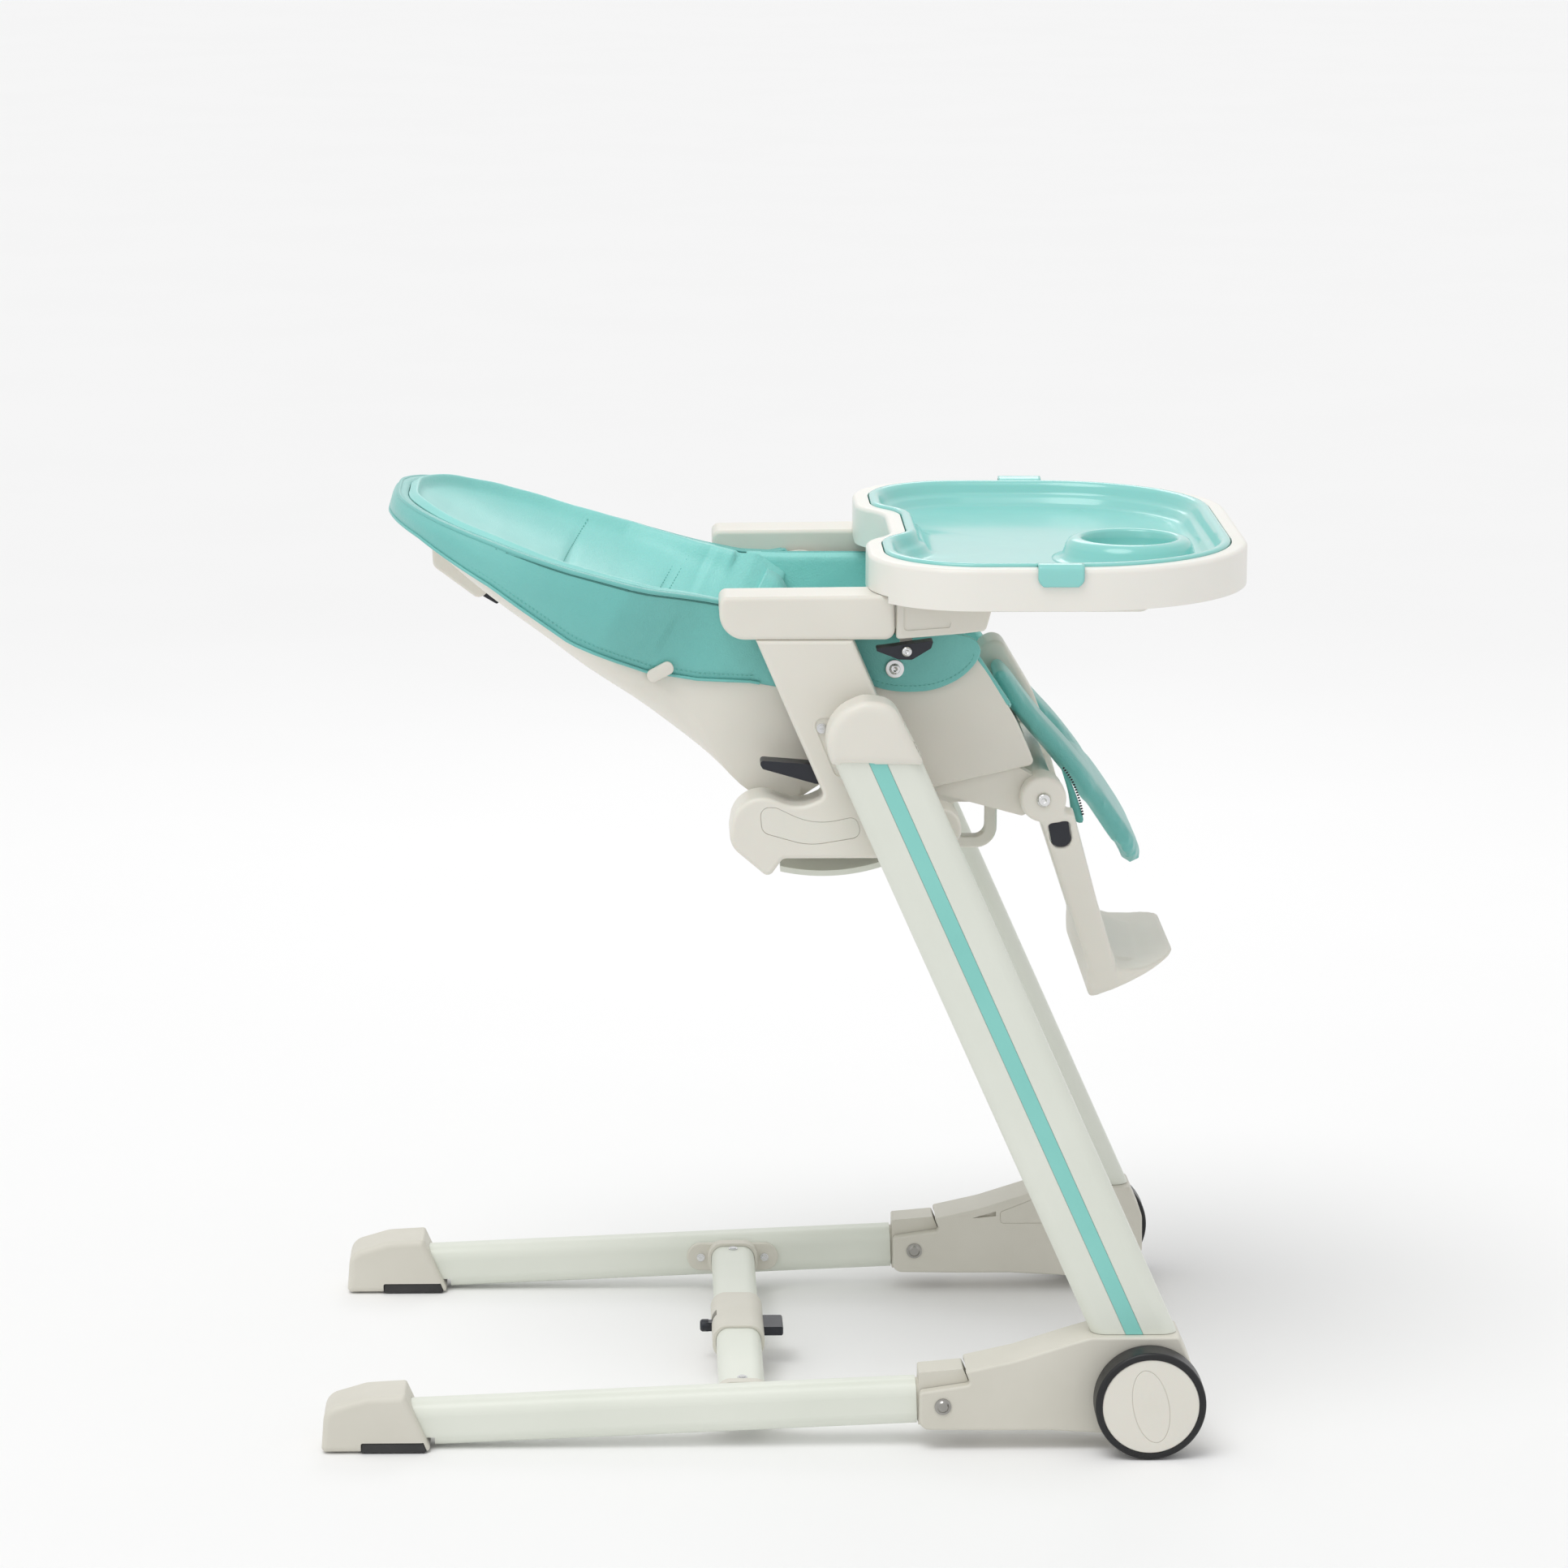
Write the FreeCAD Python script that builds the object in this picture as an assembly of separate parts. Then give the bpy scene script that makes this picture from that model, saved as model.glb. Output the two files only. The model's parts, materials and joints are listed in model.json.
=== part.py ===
import FreeCAD, Part
import math
import os

# Folding baby high chair. Millimetres. X forward (the way the child faces), Y to the
# child's left, Z up. The origin is on the floor, under the middle of the chair.

V = FreeCAD.Vector

# ---- driving dimensions ----------------------------------------------------------
# across the chair, from the middle plane outwards
pan_half = 145.0          # outer face of the seat pan's side wall
pan_wall = 3.0
plate_gap = 0.7           # seat pan wall to backrest side plate
plate_wall = 4.0
cover_gap = 0.4
cover_thick = 3.0
arm_gap = 1.9             # cover to armrest
frame_gap = 5.0           # armrest inner face to side frame inner face
arm_width = 50.0
slide_gap = 14.0          # side frame to leg
leg_thick = 36.0
housing_over = 8.0        # housing stands this much proud of the leg, each side
wheel_gap = 2.5
tyre_width = 27.0

plate_in = pan_half + plate_gap
plate_out = plate_in + plate_wall
cover_out = plate_out + cover_gap + cover_thick
arm_in = cover_out + arm_gap
frame_in = arm_in + frame_gap
arm_out = arm_in + arm_width
leg_in = arm_out + slide_gap
leg_out = leg_in + leg_thick
leg_mid = (leg_in + leg_out) / 2
housing_in = leg_in - housing_over
housing_out = leg_out + housing_over
tyre_in = housing_out + wheel_gap
tyre_out = tyre_in + tyre_width

# legs
leg_lean = 24.1           # degrees from upright, top to the rear
leg_foot_x = 309.0        # leg axis where it leaves the housing
leg_foot_z = 104.4
leg_width = 71.0
leg_wall = 2.2
leg_corner = 13.0
leg_length = 597.0        # along the axis, from the housing's top
slot_width = 16.0         # groove in the inner face that the seat's slider runs in
slot_low = 205.0
slot_high = 571.0
strip_width = 14.0
strip_depth = 1.2
seat_travel = 240.0       # down the legs

# base
fold_x = 135.5
fold_z = 41.4
rail_tilt = 2.35
rail_height = 42.0
rail_thick = 32.0
rail_wall = 1.8
rail_corner = 13.0
rail_start = 23.2         # the tube's two ends, from the fold pin
rail_length = 520.0
foot_rear_x = -424.6
foot_height = 54.0
pad_height = 9.5
pin_r = 5.0
run_clear = 0.06          # radial clearance of a turning fit
fit = 0.3                 # clearance of parts that plug together
crossbar_x = -44.0
crossbar_width = 42.0
crossbar_height = 28.0
collar_length = 104.0

# wheels
wheel_x = 320.8
wheel_r = 50.0
tyre_thick = 6.2

# seat
recline_x = 28.4
recline_z = 681.0
disc_r = 54.0             # side plates round the recline pins
floor_top = 632.0
floor_thick = 5.0
pan_top = 740.0
cushion_thick = 24.0
arm_top = 773.5
arm_bottom = 733.5

# backrest, drawn in its own frame: u along the back from the recline pins to the
# head, w square to it towards the child
back_lean = 29.0          # degrees above level
back_length = 408.0
back_wide = 176.0         # half width at the shoulders
head_r = 150.0            # plan corners at the head
lining_from = 100.0       # u where the cover's lining starts, clear of the seat pan
back_face = -58.0         # w of the cushion's front
shell_low = -116.8        # w of the shell's underside at the recline pins

# levers and latches
lever_x = 36.0            # height lever's pin
lever_z = 611.0
latch_x = 100.3           # tray latch's pin
latch_z = 722.0

# footrest
footrest_x = 226.7
footrest_z = 579.0
knuckle_r = 21.0
arm_lean = 15.0           # degrees the footrest's arms come together
footplate_front = 356.0

# tray
tray_half = 253.7
tray_rear = 67.0
tray_waist = 92.0
tray_front = 413.0
tray_top = 805.0
tray_bottom = 768.0
tray_wall = 3.0
cup_x = 308.0
cup_y = -76.0
cup_r = 43.0
cup_depth = 36.0          # from the rim to the cup's underside

screw_r = 2.5


# ---- small tools -----------------------------------------------------------------
def save(name, shape):
    assert shape.isValid() and shape.Volume > 0, name
    shape.exportStep("parts/%s.step" % name)
    print("%-26s %9.1f mm3  %d solid(s)" % (name, shape.Volume, len(shape.Solids)))


def mirror(shape):
    return shape.mirror(V(0, 0, 0), V(0, 1, 0))


def save_pair(name, left):
    # drawn on the child's left (+Y); the right one is its mirror image
    save(name + "_left", left)
    save(name + "_right", mirror(left))


def group(shapes):
    solids = []
    for shape in shapes:
        solids += shape.Solids
    return Part.makeCompound(solids)


def both(shape):
    return group([shape, mirror(shape)])


def wire(corners, spot):
    # closed outline; corners are (a, b, radius), spot turns (a, b) into a point
    points = [spot(a, b) for a, b, r in corners]
    starts, ends, arcs = [], [], []
    for i, (a, b, r) in enumerate(corners):
        here = points[i]
        back = (points[i - 1] - here).normalize()
        ahead = (points[(i + 1) % len(points)] - here).normalize()
        if r == 0:
            starts.append(here)
            ends.append(here)
            arcs.append(None)
            continue
        half = back.getAngle(ahead) / 2
        run = r / math.tan(half)
        middle = (back + ahead).normalize()
        crown = here + middle * (r / math.sin(half) - r)
        starts.append(here + back * run)
        ends.append(here + ahead * run)
        arcs.append(Part.Arc(starts[-1], crown, ends[-1]).toShape())
    edges = []
    for i in range(len(points)):
        if arcs[i]:
            edges.append(arcs[i])
        a, b = ends[i], starts[(i + 1) % len(points)]
        if a.distanceToPoint(b) > 1e-6:
            edges.append(Part.LineSegment(a, b).toShape())
    return Part.Wire(edges)


def side_wire(corners, y=0.0):
    return wire(corners, lambda x, z: V(x, y, z))


def slab(corners, y0, y1):
    # side outline in X and Z, from y0 to y1
    return Part.Face(side_wire(corners, y0)).extrude(V(0, y1 - y0, 0))


def plate(corners, z0, z1):
    # plan outline in X and Y, from z0 to z1
    return Part.Face(wire(corners, lambda x, y: V(x, y, z0))).extrude(V(0, 0, z1 - z0))


def block(x0, x1, y0, y1, z0, z1):
    return Part.makeBox(x1 - x0, y1 - y0, z1 - z0, V(x0, y0, z0))


def pin(x, z, r, y0, y1):
    return Part.makeCylinder(r, y1 - y0, V(x, y0, z), V(0, 1, 0))


def oval(width, height, corner, z0, z1, y=0.0):
    # rounded rectangle, width in X and height in Y, standing along Z
    a, b = width / 2, height / 2
    outline = [(-a, y - b, corner), (a, y - b, corner), (a, y + b, corner), (-a, y + b, corner)]
    return plate(outline, z0, z1)


def edges_at(shape, axis, value):
    found = []
    for edge in shape.Edges:
        box = edge.BoundBox
        low, high = [(box.XMin, box.XMax), (box.YMin, box.YMax), (box.ZMin, box.ZMax)][axis]
        if abs(low - value) < 1e-3 and abs(high - value) < 1e-3:
            found.append(edge)
    return found


def soften(shape, radius, axis, *values):
    edges = []
    for value in values:
        edges += edges_at(shape, axis, value)
    return shape.makeFillet(radius, edges)


def on_leg(shape, y=leg_mid):
    # from the leg's own frame (X forward, Z along it) to its place
    copy = shape.copy()
    copy.rotate(V(0, 0, 0), V(0, 1, 0), -leg_lean)
    copy.translate(V(leg_foot_x, y, leg_foot_z))
    return copy


def leg_x(z):
    return leg_foot_x - (z - leg_foot_z) * math.tan(math.radians(leg_lean))


def rail_axis_z(x):
    return fold_z - (fold_x - x) * math.tan(math.radians(rail_tilt))


def screw(x, z, y, out, head_r=4.5, length=12.0):
    # domed screw whose head's underside is at y; out is +1 or -1 along Y
    head = Part.makeCylinder(head_r, 1.2, V(x, y, z), V(0, out, 0))
    head = head.fuse(Part.makeCylinder(head_r * 0.72, 1.0, V(x, y + out * 1.2, z), V(0, out, 0)))
    stem = Part.makeCylinder(screw_r, length, V(x, y, z), V(0, -out, 0))
    slot = Part.makeBox(head_r * 0.9, 1.0, 1.0, V(x - head_r * 0.45, y + out * 1.7 - 0.5, z - 0.5))
    return head.fuse(stem).cut(slot)


def washer(x, z, y0, y1, r_out, r_in):
    return pin(x, z, r_out, y0, y1).cut(pin(x, z, r_in, y0, y1))


# ---- base: two rails, feet, crossbar with its fold pedal --------------------------
def rails():
    tube = oval(rail_height, rail_thick, rail_corner, rail_start, rail_length)
    inner = oval(rail_height - 2 * rail_wall, rail_thick - 2 * rail_wall,
                 rail_corner - rail_wall, rail_start, rail_length)
    tube = tube.cut(inner)

    def lay(shape):
        copy = shape.copy()
        copy.rotate(V(0, 0, 0), V(0, 1, 0), -90 - rail_tilt)
        copy.translate(V(fold_x, leg_mid, fold_z))
        return copy
    save("base_rails", both(lay(tube).cut(pad_room())))

    # moulded end that turns on the fold pin, with a plug inside the tube
    half = rail_thick / 2 - 0.5
    low, high = fold_z - rail_height / 2 + 0.6, fold_z + 32
    end_x = fold_x - 21.5
    body = slab([(end_x, low, 0), (end_x, high - 3.5, 2), (fold_x + 18.5, high, 2),
                 (fold_x + 23.5, fold_z + 20.5, 2), (fold_x + 22, low, 18)],
                leg_mid - half, leg_mid + half)
    plug = oval(rail_height - 2 * (rail_wall + fit), rail_thick - 2 * (rail_wall + fit),
                rail_corner - rail_wall - fit, 18, 68)
    body = body.fuse(lay(plug)).removeSplitter()
    body = body.cut(pin(fold_x, fold_z, pin_r + run_clear, 0, 400))
    save("rail_hinge_ends", both(body))


def rail_shape(grow, z0, z1):
    shape = oval(rail_height + 2 * grow, rail_thick + 2 * grow, rail_corner + grow, z0, z1)
    shape.rotate(V(0, 0, 0), V(0, 1, 0), -90 - rail_tilt)
    shape.translate(V(fold_x, leg_mid, fold_z))
    return shape


def pad_room():
    # the tube's underside is notched over the foot's rubber pad
    return block(foot_rear_x, foot_rear_x + 102, 0, 400, -10, pad_height + 2)


def rear_feet():
    toe = foot_rear_x + 75.6
    outline = [(foot_rear_x, 0.6, 4), (foot_rear_x + 3, 41, 16), (foot_rear_x + 40, foot_height - 2, 30),
               (toe, foot_height, 3), (toe + 23.6, 0.6, 3)]
    foot = slab(outline, housing_in, housing_out)
    foot = soften(foot, 6, 1, housing_in, housing_out)
    foot = foot.cut(rail_shape(fit, 100, rail_length + fit).cut(pad_room()))
    pad_x0, pad_x1 = foot_rear_x + 36, toe + 19.8
    pad = slab([(pad_x0, 0, 2), (pad_x0, pad_height, 2), (pad_x1 - 3.6, pad_height, 1), (pad_x1, 0, 2)],
               housing_in + 1, housing_out - 1)
    bed = slab([(pad_x0 - fit, -1, 0), (pad_x0 - fit, pad_height + fit, 2),
                (pad_x1 - 3.3, pad_height + fit, 1), (pad_x1 + 0.8, -1, 0)], 0, 400)
    pad = soften(pad, 1.5, 1, housing_in + 1, housing_out - 1)
    save("rear_feet", both(foot.cut(bed)))
    save("foot_pads", both(pad))


def crossbar():
    z = rail_axis_z(crossbar_x)
    half = leg_mid - rail_thick / 2 - 4
    width, height = crossbar_width, crossbar_height

    def bar(w, h, r, y0, y1):
        outline = [(crossbar_x - w / 2, z - h / 2, r), (crossbar_x + w / 2, z - h / 2, r),
                   (crossbar_x + w / 2, z + h / 2, r), (crossbar_x - w / 2, z + h / 2, r)]
        return slab(outline, y0, y1)
    tube = bar(width, height, 12, -half, half)
    tube = tube.cut(bar(width - 2 * rail_wall, height - 2 * rail_wall, 12 - rail_wall, -half, half))
    collar_w, collar_h = width + 7, height + 5
    collar = bar(collar_w, collar_h, 14, -collar_length / 2, collar_length / 2)
    collar = soften(collar, 1.2, 1, -collar_length / 2, collar_length / 2)
    collar = collar.cut(bar(width + 2 * fit, height + 2 * fit, 12 + fit, -collar_length, collar_length))
    # windows that the pedal comes out of
    front = block(crossbar_x + 10, crossbar_x + 40, -19.5, 19.5, z - 11, z + 5)
    back = block(crossbar_x - 40, crossbar_x - 10, -7.5, 7.5, z - 7, z + 13)
    tube = tube.cut(front).cut(back)
    collar = collar.cut(front).cut(back)
    save("crossbar", tube)
    save("pedal_housing", collar)

    # brackets on the rails' inner faces
    face = leg_mid - rail_thick / 2
    flange = slab([(crossbar_x - 45, z - 14, 13.9), (crossbar_x + 45, z - 14, 13.9),
                   (crossbar_x + 45, z + 14, 13.9), (crossbar_x - 45, z + 14, 13.9)], face - 4, face)
    flange = soften(flange, 1.5, 1, face - 4)
    cup = bar(width + 7, height + 6, 14, face - 14, face - 2)
    cup = soften(cup, 1.0, 1, face - 14)
    bracket = flange.fuse(cup).removeSplitter()
    bracket = bracket.cut(bar(width + 2 * fit, height + 2 * fit, 12 + fit, face - 20, half + fit))
    fasteners = []
    for dx in (-31.5, 31.5):
        bracket = bracket.cut(pin(crossbar_x + dx, z, screw_r + 0.2, 0, 400))
        fasteners.append(screw(crossbar_x + dx, z, face - 4, -1, 4.0, 3.8))
    save("crossbar_brackets", both(bracket))
    top = z + height / 2
    rivet = Part.makeCylinder(4.5, 1.2, V(crossbar_x, 198, top))
    fasteners.append(rivet.fuse(Part.makeCylinder(3, 0.8, V(crossbar_x, 198, top + 1.2))))
    save("base_fasteners", both(group(fasteners)))

    # pedal: one bar that rocks on a pin inside the collar
    pedal = block(crossbar_x - 6, crossbar_x + 43, -18.5, 18.5, z - 4.5, z + 4)
    pedal = soften(pedal, 2.0, 0, crossbar_x + 43)
    arm = block(crossbar_x - 30, crossbar_x, -5, 5, z - 4.5, z + 4)
    nub = Part.makeCylinder(6, 8, V(crossbar_x - 35.6, 0, z), V(1, 0, 0))
    nub = nub.makeFillet(3, edges_at(nub, 0, crossbar_x - 35.6))
    boss = pin(crossbar_x, z, 8, -11, 11)
    pedal = pedal.cut(block(crossbar_x - 20, crossbar_x + 9, 11, 20, z - 9, z + 9))
    pedal = pedal.cut(block(crossbar_x - 20, crossbar_x + 9, -20, -11, z - 9, z + 9))
    pedal = pedal.fuse([arm, nub, boss]).removeSplitter()
    pedal = pedal.cut(pin(crossbar_x, z, 3 + run_clear, -60, 60))
    save("fold_pedal", pedal)
    core = bar(width - 2 * (rail_wall + fit), height - 2 * (rail_wall + fit), 12 - rail_wall - fit, 22, 50)
    core = core.cut(pin(crossbar_x, z, 3, 0, 60))
    turns = Part.makeHelix(1.7, 8.5, 4.4)
    section = Part.Wire(Part.makeCircle(0.6, V(4.4, 0, 0), V(0, 1, 0)))
    spring = Part.Wire(turns.Edges).makePipeShell([section], True, True)
    spring.rotate(V(0, 0, 0), V(1, 0, 0), -90)
    spring.translate(V(crossbar_x, 12.0, z))
    # two bearing blocks, the pin they hold, and the spring round it
    save("pedal_pivot", group([both(core), pin(crossbar_x, z, 3, -49, 49), spring]))


# ---- legs: housings, wheels, tubes, caps ------------------------------------------
def hinge_housings():
    top = leg_foot_z + 1
    outline = [(fold_x - 21, 19, 9), (fold_x - 21, 54.5, 4), (fold_x + 25, 61.5, 3), (fold_x + 20, 74, 2),
               (200, 84, 60), (250, 100, 60), (268.5, top, 3), (348.5, top, 4), (361, 76, 20),
               (362, 14, 30), (300, 14, 30), (230, 18, 40), (180, 18, 40)]
    housing = slab(outline, housing_in, housing_out)
    housing = soften(housing, 2.5, 1, housing_in, housing_out)
    # room between the cheeks for the rail's hinge end, which turns
    gap = rail_thick / 2 + 0.5
    room = pin(fold_x, fold_z, 38.5, leg_mid - gap, leg_mid + gap)
    room = room.fuse(block(fold_x - 40, fold_x, leg_mid - gap, leg_mid + gap, -10, 110))
    # hollow middle
    hollow = slab([(184, 24, 4), (184, 76, 4), (258, 98, 4), (262, 24, 4)], housing_in + 4, housing_out - 4)
    housing = housing.cut(room).cut(hollow)
    spigot = oval(leg_width - 2 * (leg_wall + fit), leg_thick - 2 * (leg_wall + fit),
                  leg_corner - leg_wall - fit, -25, 62)
    housing = housing.fuse(on_leg(spigot)).removeSplitter()
    housing = housing.cut(pin(fold_x, fold_z, pin_r, 0, 400))
    housing = housing.cut(pin(wheel_x, wheel_r, pin_r, 0, 400))
    # outline of the lid on the inner face
    rim = slab([(220, 69, 4), (220, 81, 3), (262, 98, 4), (272, 69, 4)], housing_in - 1, housing_in + 0.6)
    lid = slab([(220.6, 69.6, 3.4), (220.6, 80.6, 2.4), (261.6, 97.2, 3.4), (271.2, 69.6, 3.4)],
               housing_in - 2, housing_in + 2)
    housing = housing.cut(rim.cut(lid))
    vent = slab([(193, 74.5, 0), (216, 81.5, 0), (216, 76.5, 0)], housing_in - 1, housing_in + 3.8)
    save_pair("hinge_housing", housing.cut(vent))

    fold = pin(fold_x, fold_z, pin_r, housing_in - 0.2, housing_out + 0.2)
    for y, out in ((housing_out + 0.2, 1), (housing_in - 0.2, -1)):
        fold = fold.fuse(Part.makeCylinder(7.5, 1.0, V(fold_x, y, fold_z), V(0, out, 0)))
        fold = fold.fuse(Part.makeCone(5.6, 4.2, 1.4, V(fold_x, y + out, fold_z), V(0, out, 0)))
    save("fold_pins", both(fold))


def wheels():
    inner_r = wheel_r - tyre_thick
    tyre = washer(wheel_x, wheel_r, tyre_in, tyre_out, wheel_r, inner_r)
    outer = [e for e in tyre.Edges if abs(e.BoundBox.XMax - wheel_x - wheel_r) < 1e-3
             and e.BoundBox.YMax - e.BoundBox.YMin < 1e-3]
    save_pair("tyre", tyre.makeFillet(2.8, outer))
    core_r = inner_r - 0.05
    core = pin(wheel_x, wheel_r, core_r, tyre_in + 0.5, tyre_out - 0.6)
    core = core.makeFillet(0.8, edges_at(core, 1, tyre_out - 0.6))
    ring = washer(wheel_x, wheel_r, tyre_in + 0.4, tyre_out - 5, core_r - 4, 13)
    ring = ring.cut(block(wheel_x - 1.5, wheel_x + 1.5, 0, 400, 0, 120))
    ring = ring.cut(block(wheel_x - 60, wheel_x + 60, 0, 400, wheel_r - 1.5, wheel_r + 1.5))
    core = core.cut(ring).cut(pin(wheel_x, wheel_r, pin_r + run_clear, 0, tyre_out - 5))

    def ellipse(a, b):
        shape = Part.Face(Part.Wire(Part.Ellipse(V(0, 0, 0), a, b).toShape())).extrude(V(0, 0, 2))
        shape.rotate(V(0, 0, 0), V(1, 0, 0), -90)
        shape.rotate(V(0, 0, 0), V(0, 1, 0), 79)
        shape.translate(V(wheel_x, tyre_out - 1.2, wheel_r))
        return shape
    groove = ellipse(34.6, 16.4).cut(ellipse(34.0, 15.8))
    save_pair("wheel", core.cut(groove))
    axle = pin(wheel_x, wheel_r, pin_r, housing_in + 2, tyre_out - 5.5)
    save("wheel_axles", both(axle))


def legs():
    outer = oval(leg_width, leg_thick, leg_corner, -60, leg_length)
    inner = oval(leg_width - 2 * leg_wall, leg_thick - 2 * leg_wall, leg_corner - leg_wall, -60, leg_length)
    slot = plate([(-slot_width / 2, -leg_thick, 0), (slot_width / 2, -leg_thick, 0),
                  (slot_width / 2, 0, 0), (-slot_width / 2, 0, 0)], slot_low, slot_high)
    half = strip_width / 2 + 0.4
    groove = block(-half, half, leg_thick / 2 - strip_depth, leg_thick, -60, leg_length)
    tube = on_leg(outer.cut(inner).cut(slot).cut(groove))
    below = block(0, 500, 0, 400, -100, leg_foot_z + 1.5)
    save_pair("leg", tube.cut(below))
    half = strip_width / 2
    strip = block(-half, half, leg_thick / 2 - strip_depth + 0.1, leg_thick / 2 + 0.3, -60, leg_length - 10)
    save("leg_strips", both(on_leg(strip).cut(below)))


def leg_caps():
    y0, y1 = leg_in - 4, leg_out + 4
    low = leg_x(leg_foot_z + 526) - 4.5
    outline = [(low - 37.6, 631, 3), (low - 49.5, 671, 36), (low - 9, 689, 22), (low + 17, 685.5, 22),
               (low + 45.5, 629.5, 3)]
    cap = slab(outline, y0, y1)
    cap = soften(cap, 8, 1, y0, y1)
    hollow = on_leg(oval(leg_width + 2 * fit, leg_thick + 2 * fit, leg_corner, 400, leg_length + 1))
    save("leg_caps", both(cap.cut(hollow)))


# ---- seat carriage ------------------------------------------------------------------
frame_outline = [(-34, arm_bottom, 0), (52, arm_bottom, 0), (137, 535, 22), (-9, 535, 6), (-21.5, 517, 6),
                 (-58, 548, 22), (-50, 602, 28), (5, 580, 34), (28, 591, 6)]
frame_inset = [(-29, 740, 0), (48, 740, 0), (130, 541, 16), (-12, 541, 4), (-22, 526, 3),
               (-52, 551, 17), (-46, 595, 22), (4, 574, 30), (31, 588, 4)]


def side_frames():
    frame = slab(frame_outline, frame_in, arm_out)
    frame = soften(frame, 4, 1, arm_out)
    hollow = slab(frame_inset, frame_in - 1, arm_out - 4)
    frame = frame.cut(hollow)
    # bosses for the pins and screws, and the round end in front of the leg
    boss = pin(recline_x, recline_z, 14, frame_in, arm_out - 3)
    knob = pin(132, 560, 19, frame_in, arm_out - 8)
    knob = knob.makeFillet(3, edges_at(knob, 1, arm_out - 8))
    frame = frame.fuse([boss, knob]).removeSplitter()
    frame = frame.cut(pin(recline_x, recline_z, 6, frame_in - 1, arm_out - 8))
    # window in the rear edge for the height lever
    mid = (frame_in + arm_out) / 2
    frame = frame.cut(block(-20, 45, mid - 12, mid + 12, 597, 626))
    # oval seat for the screw, and the inlay's bed
    seat = slab([(15.5, 663.5, 7), (34.5, 663.5, 7), (34.5 + 22, 610, 7), (15.5 + 22, 610, 7)],
                arm_out - 1, arm_out + 1)
    inlay = [(-30, 583, 8), (-28, 559, 9), (14, 547, 60), (62, 555, 8), (56, 574, 7), (18, 566, 60),
             (-15, 582, 9)]
    bed = slab(inlay, arm_out - 1.2, arm_out + 1)
    frame = frame.cut(seat).cut(bed).cut(pin(25, 654, screw_r, arm_out - 20, arm_out + 1))
    # block that reaches through the leg's slot, on two posts
    save_pair("side_frame", frame)
    inset = slab([(-29.6, 582.4, 7.4), (-27.4, 559.4, 8.6), (14, 547.5, 60), (61.5, 555.6, 7.4),
                  (55.7, 573.5, 6.6), (18, 565.6, 60), (-14.8, 581.6, 8.6)], arm_out - 1.2, arm_out - 0.1)
    save("frame_inlays", both(inset))
    lid = slab(frame_inset, frame_in + 0.2, frame_in + 3).common(block(-200, 300, 0, 400, 0, arm_bottom - 0.6))
    lid = lid.cut(pin(recline_x, recline_z, 15, 0, 400)).cut(pin(132, 560, 19.2, 0, 400))
    save("frame_lids", both(lid))


def sliders():
    # a shoe in the leg, a neck through its slot and a plate on the side frame
    low, high = slot_high - 96, slot_high - 8
    shoe_w = leg_width - 2 * leg_wall - 1.2
    shoe_t = leg_thick - 2 * leg_wall - 1.2
    shoe = oval(shoe_w, shoe_t, leg_corner - leg_wall - 0.6, low, high)
    neck = block(-slot_width / 2 + 0.6, slot_width / 2 - 0.6, -leg_thick / 2 - slide_gap, 0, low, high)
    foot = block(-22, 22, -leg_thick / 2 - slide_gap, -leg_thick / 2 - slide_gap + 8, low + 6, high - 6)
    save("height_sliders", both(on_leg(shoe.fuse([neck, foot]).removeSplitter())))


def armrests():
    outline = [(-66, arm_top - 1.5, 7), (-66, arm_bottom, 23), (89.5, arm_bottom, 9), (88, arm_top, 3)]
    arm = slab(outline, arm_in, arm_out)
    arm = soften(arm, 4, 1, arm_in, arm_out)
    channel = block(-45, 100, arm_in + 12, arm_out - 6, arm_bottom + 8, arm_top - 8)
    save_pair("armrest", arm.cut(channel))


def seat_pan():
    outline = [(-30, 607, 25), (-30, pan_top, 12), (138, pan_top, 20), (176, 694, 60), (202, 650, 60),
               (220, 608, 5), (110, 583, 60), (60, 596, 60)]
    pan = slab(outline, -pan_half, pan_half)
    pan = soften(pan, 2.0, 1, -pan_half, pan_half)
    cavity = slab([(-60, floor_top, 0), (-60, 800, 0), (160, 800, 0), (160, floor_top + 3, 0)],
                  -pan_half + pan_wall, pan_half - pan_wall)
    front = slab([(150, floor_top + 2, 0), (150, 800, 0), (260, 800, 0), (260, floor_top + 6, 0)],
                 -pan_half + pan_wall, pan_half - pan_wall)
    under = slab([(-60, 540, 0), (-60, floor_top - floor_thick, 0), (160, floor_top - floor_thick, 0),
                  (206, floor_top - floor_thick + 2, 4), (212, 540, 0)],
                 -pan_half + pan_wall, pan_half - pan_wall)
    pan = pan.cut(cavity).cut(front).cut(under)
    # raised panel on each side
    for side in (1, -1):
        y = side * pan_half
        panel = slab([(100, 590, 4), (100, 700, 4), (150, 699, 12), (196, 622, 60), (194, 603, 8)],
                     y - 0.5, y + 0.5)
        pan = pan.cut(panel.cut(slab([(101.5, 591.5, 3), (101.5, 698.5, 3), (149, 697.5, 11),
                                      (194.3, 621.5, 59), (192.5, 604.5, 7)], y - 1, y + 1)))
    pan = pan.cut(pin(recline_x, recline_z, 6, -200, 200))
    save("seat_pan", pan)


def seat_fasteners():
    # recline pins, height lever pins and the side frames' screws
    recline = pin(recline_x, recline_z, 6, pan_half - 8, arm_out - 9)
    lever = pin(lever_x, lever_z, 3, frame_in + 3.2, arm_out - 4)
    save("seat_fasteners", both(group([recline, lever, screw(25, 654, arm_out - 1, 1, 4.5, 8)])))


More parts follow.
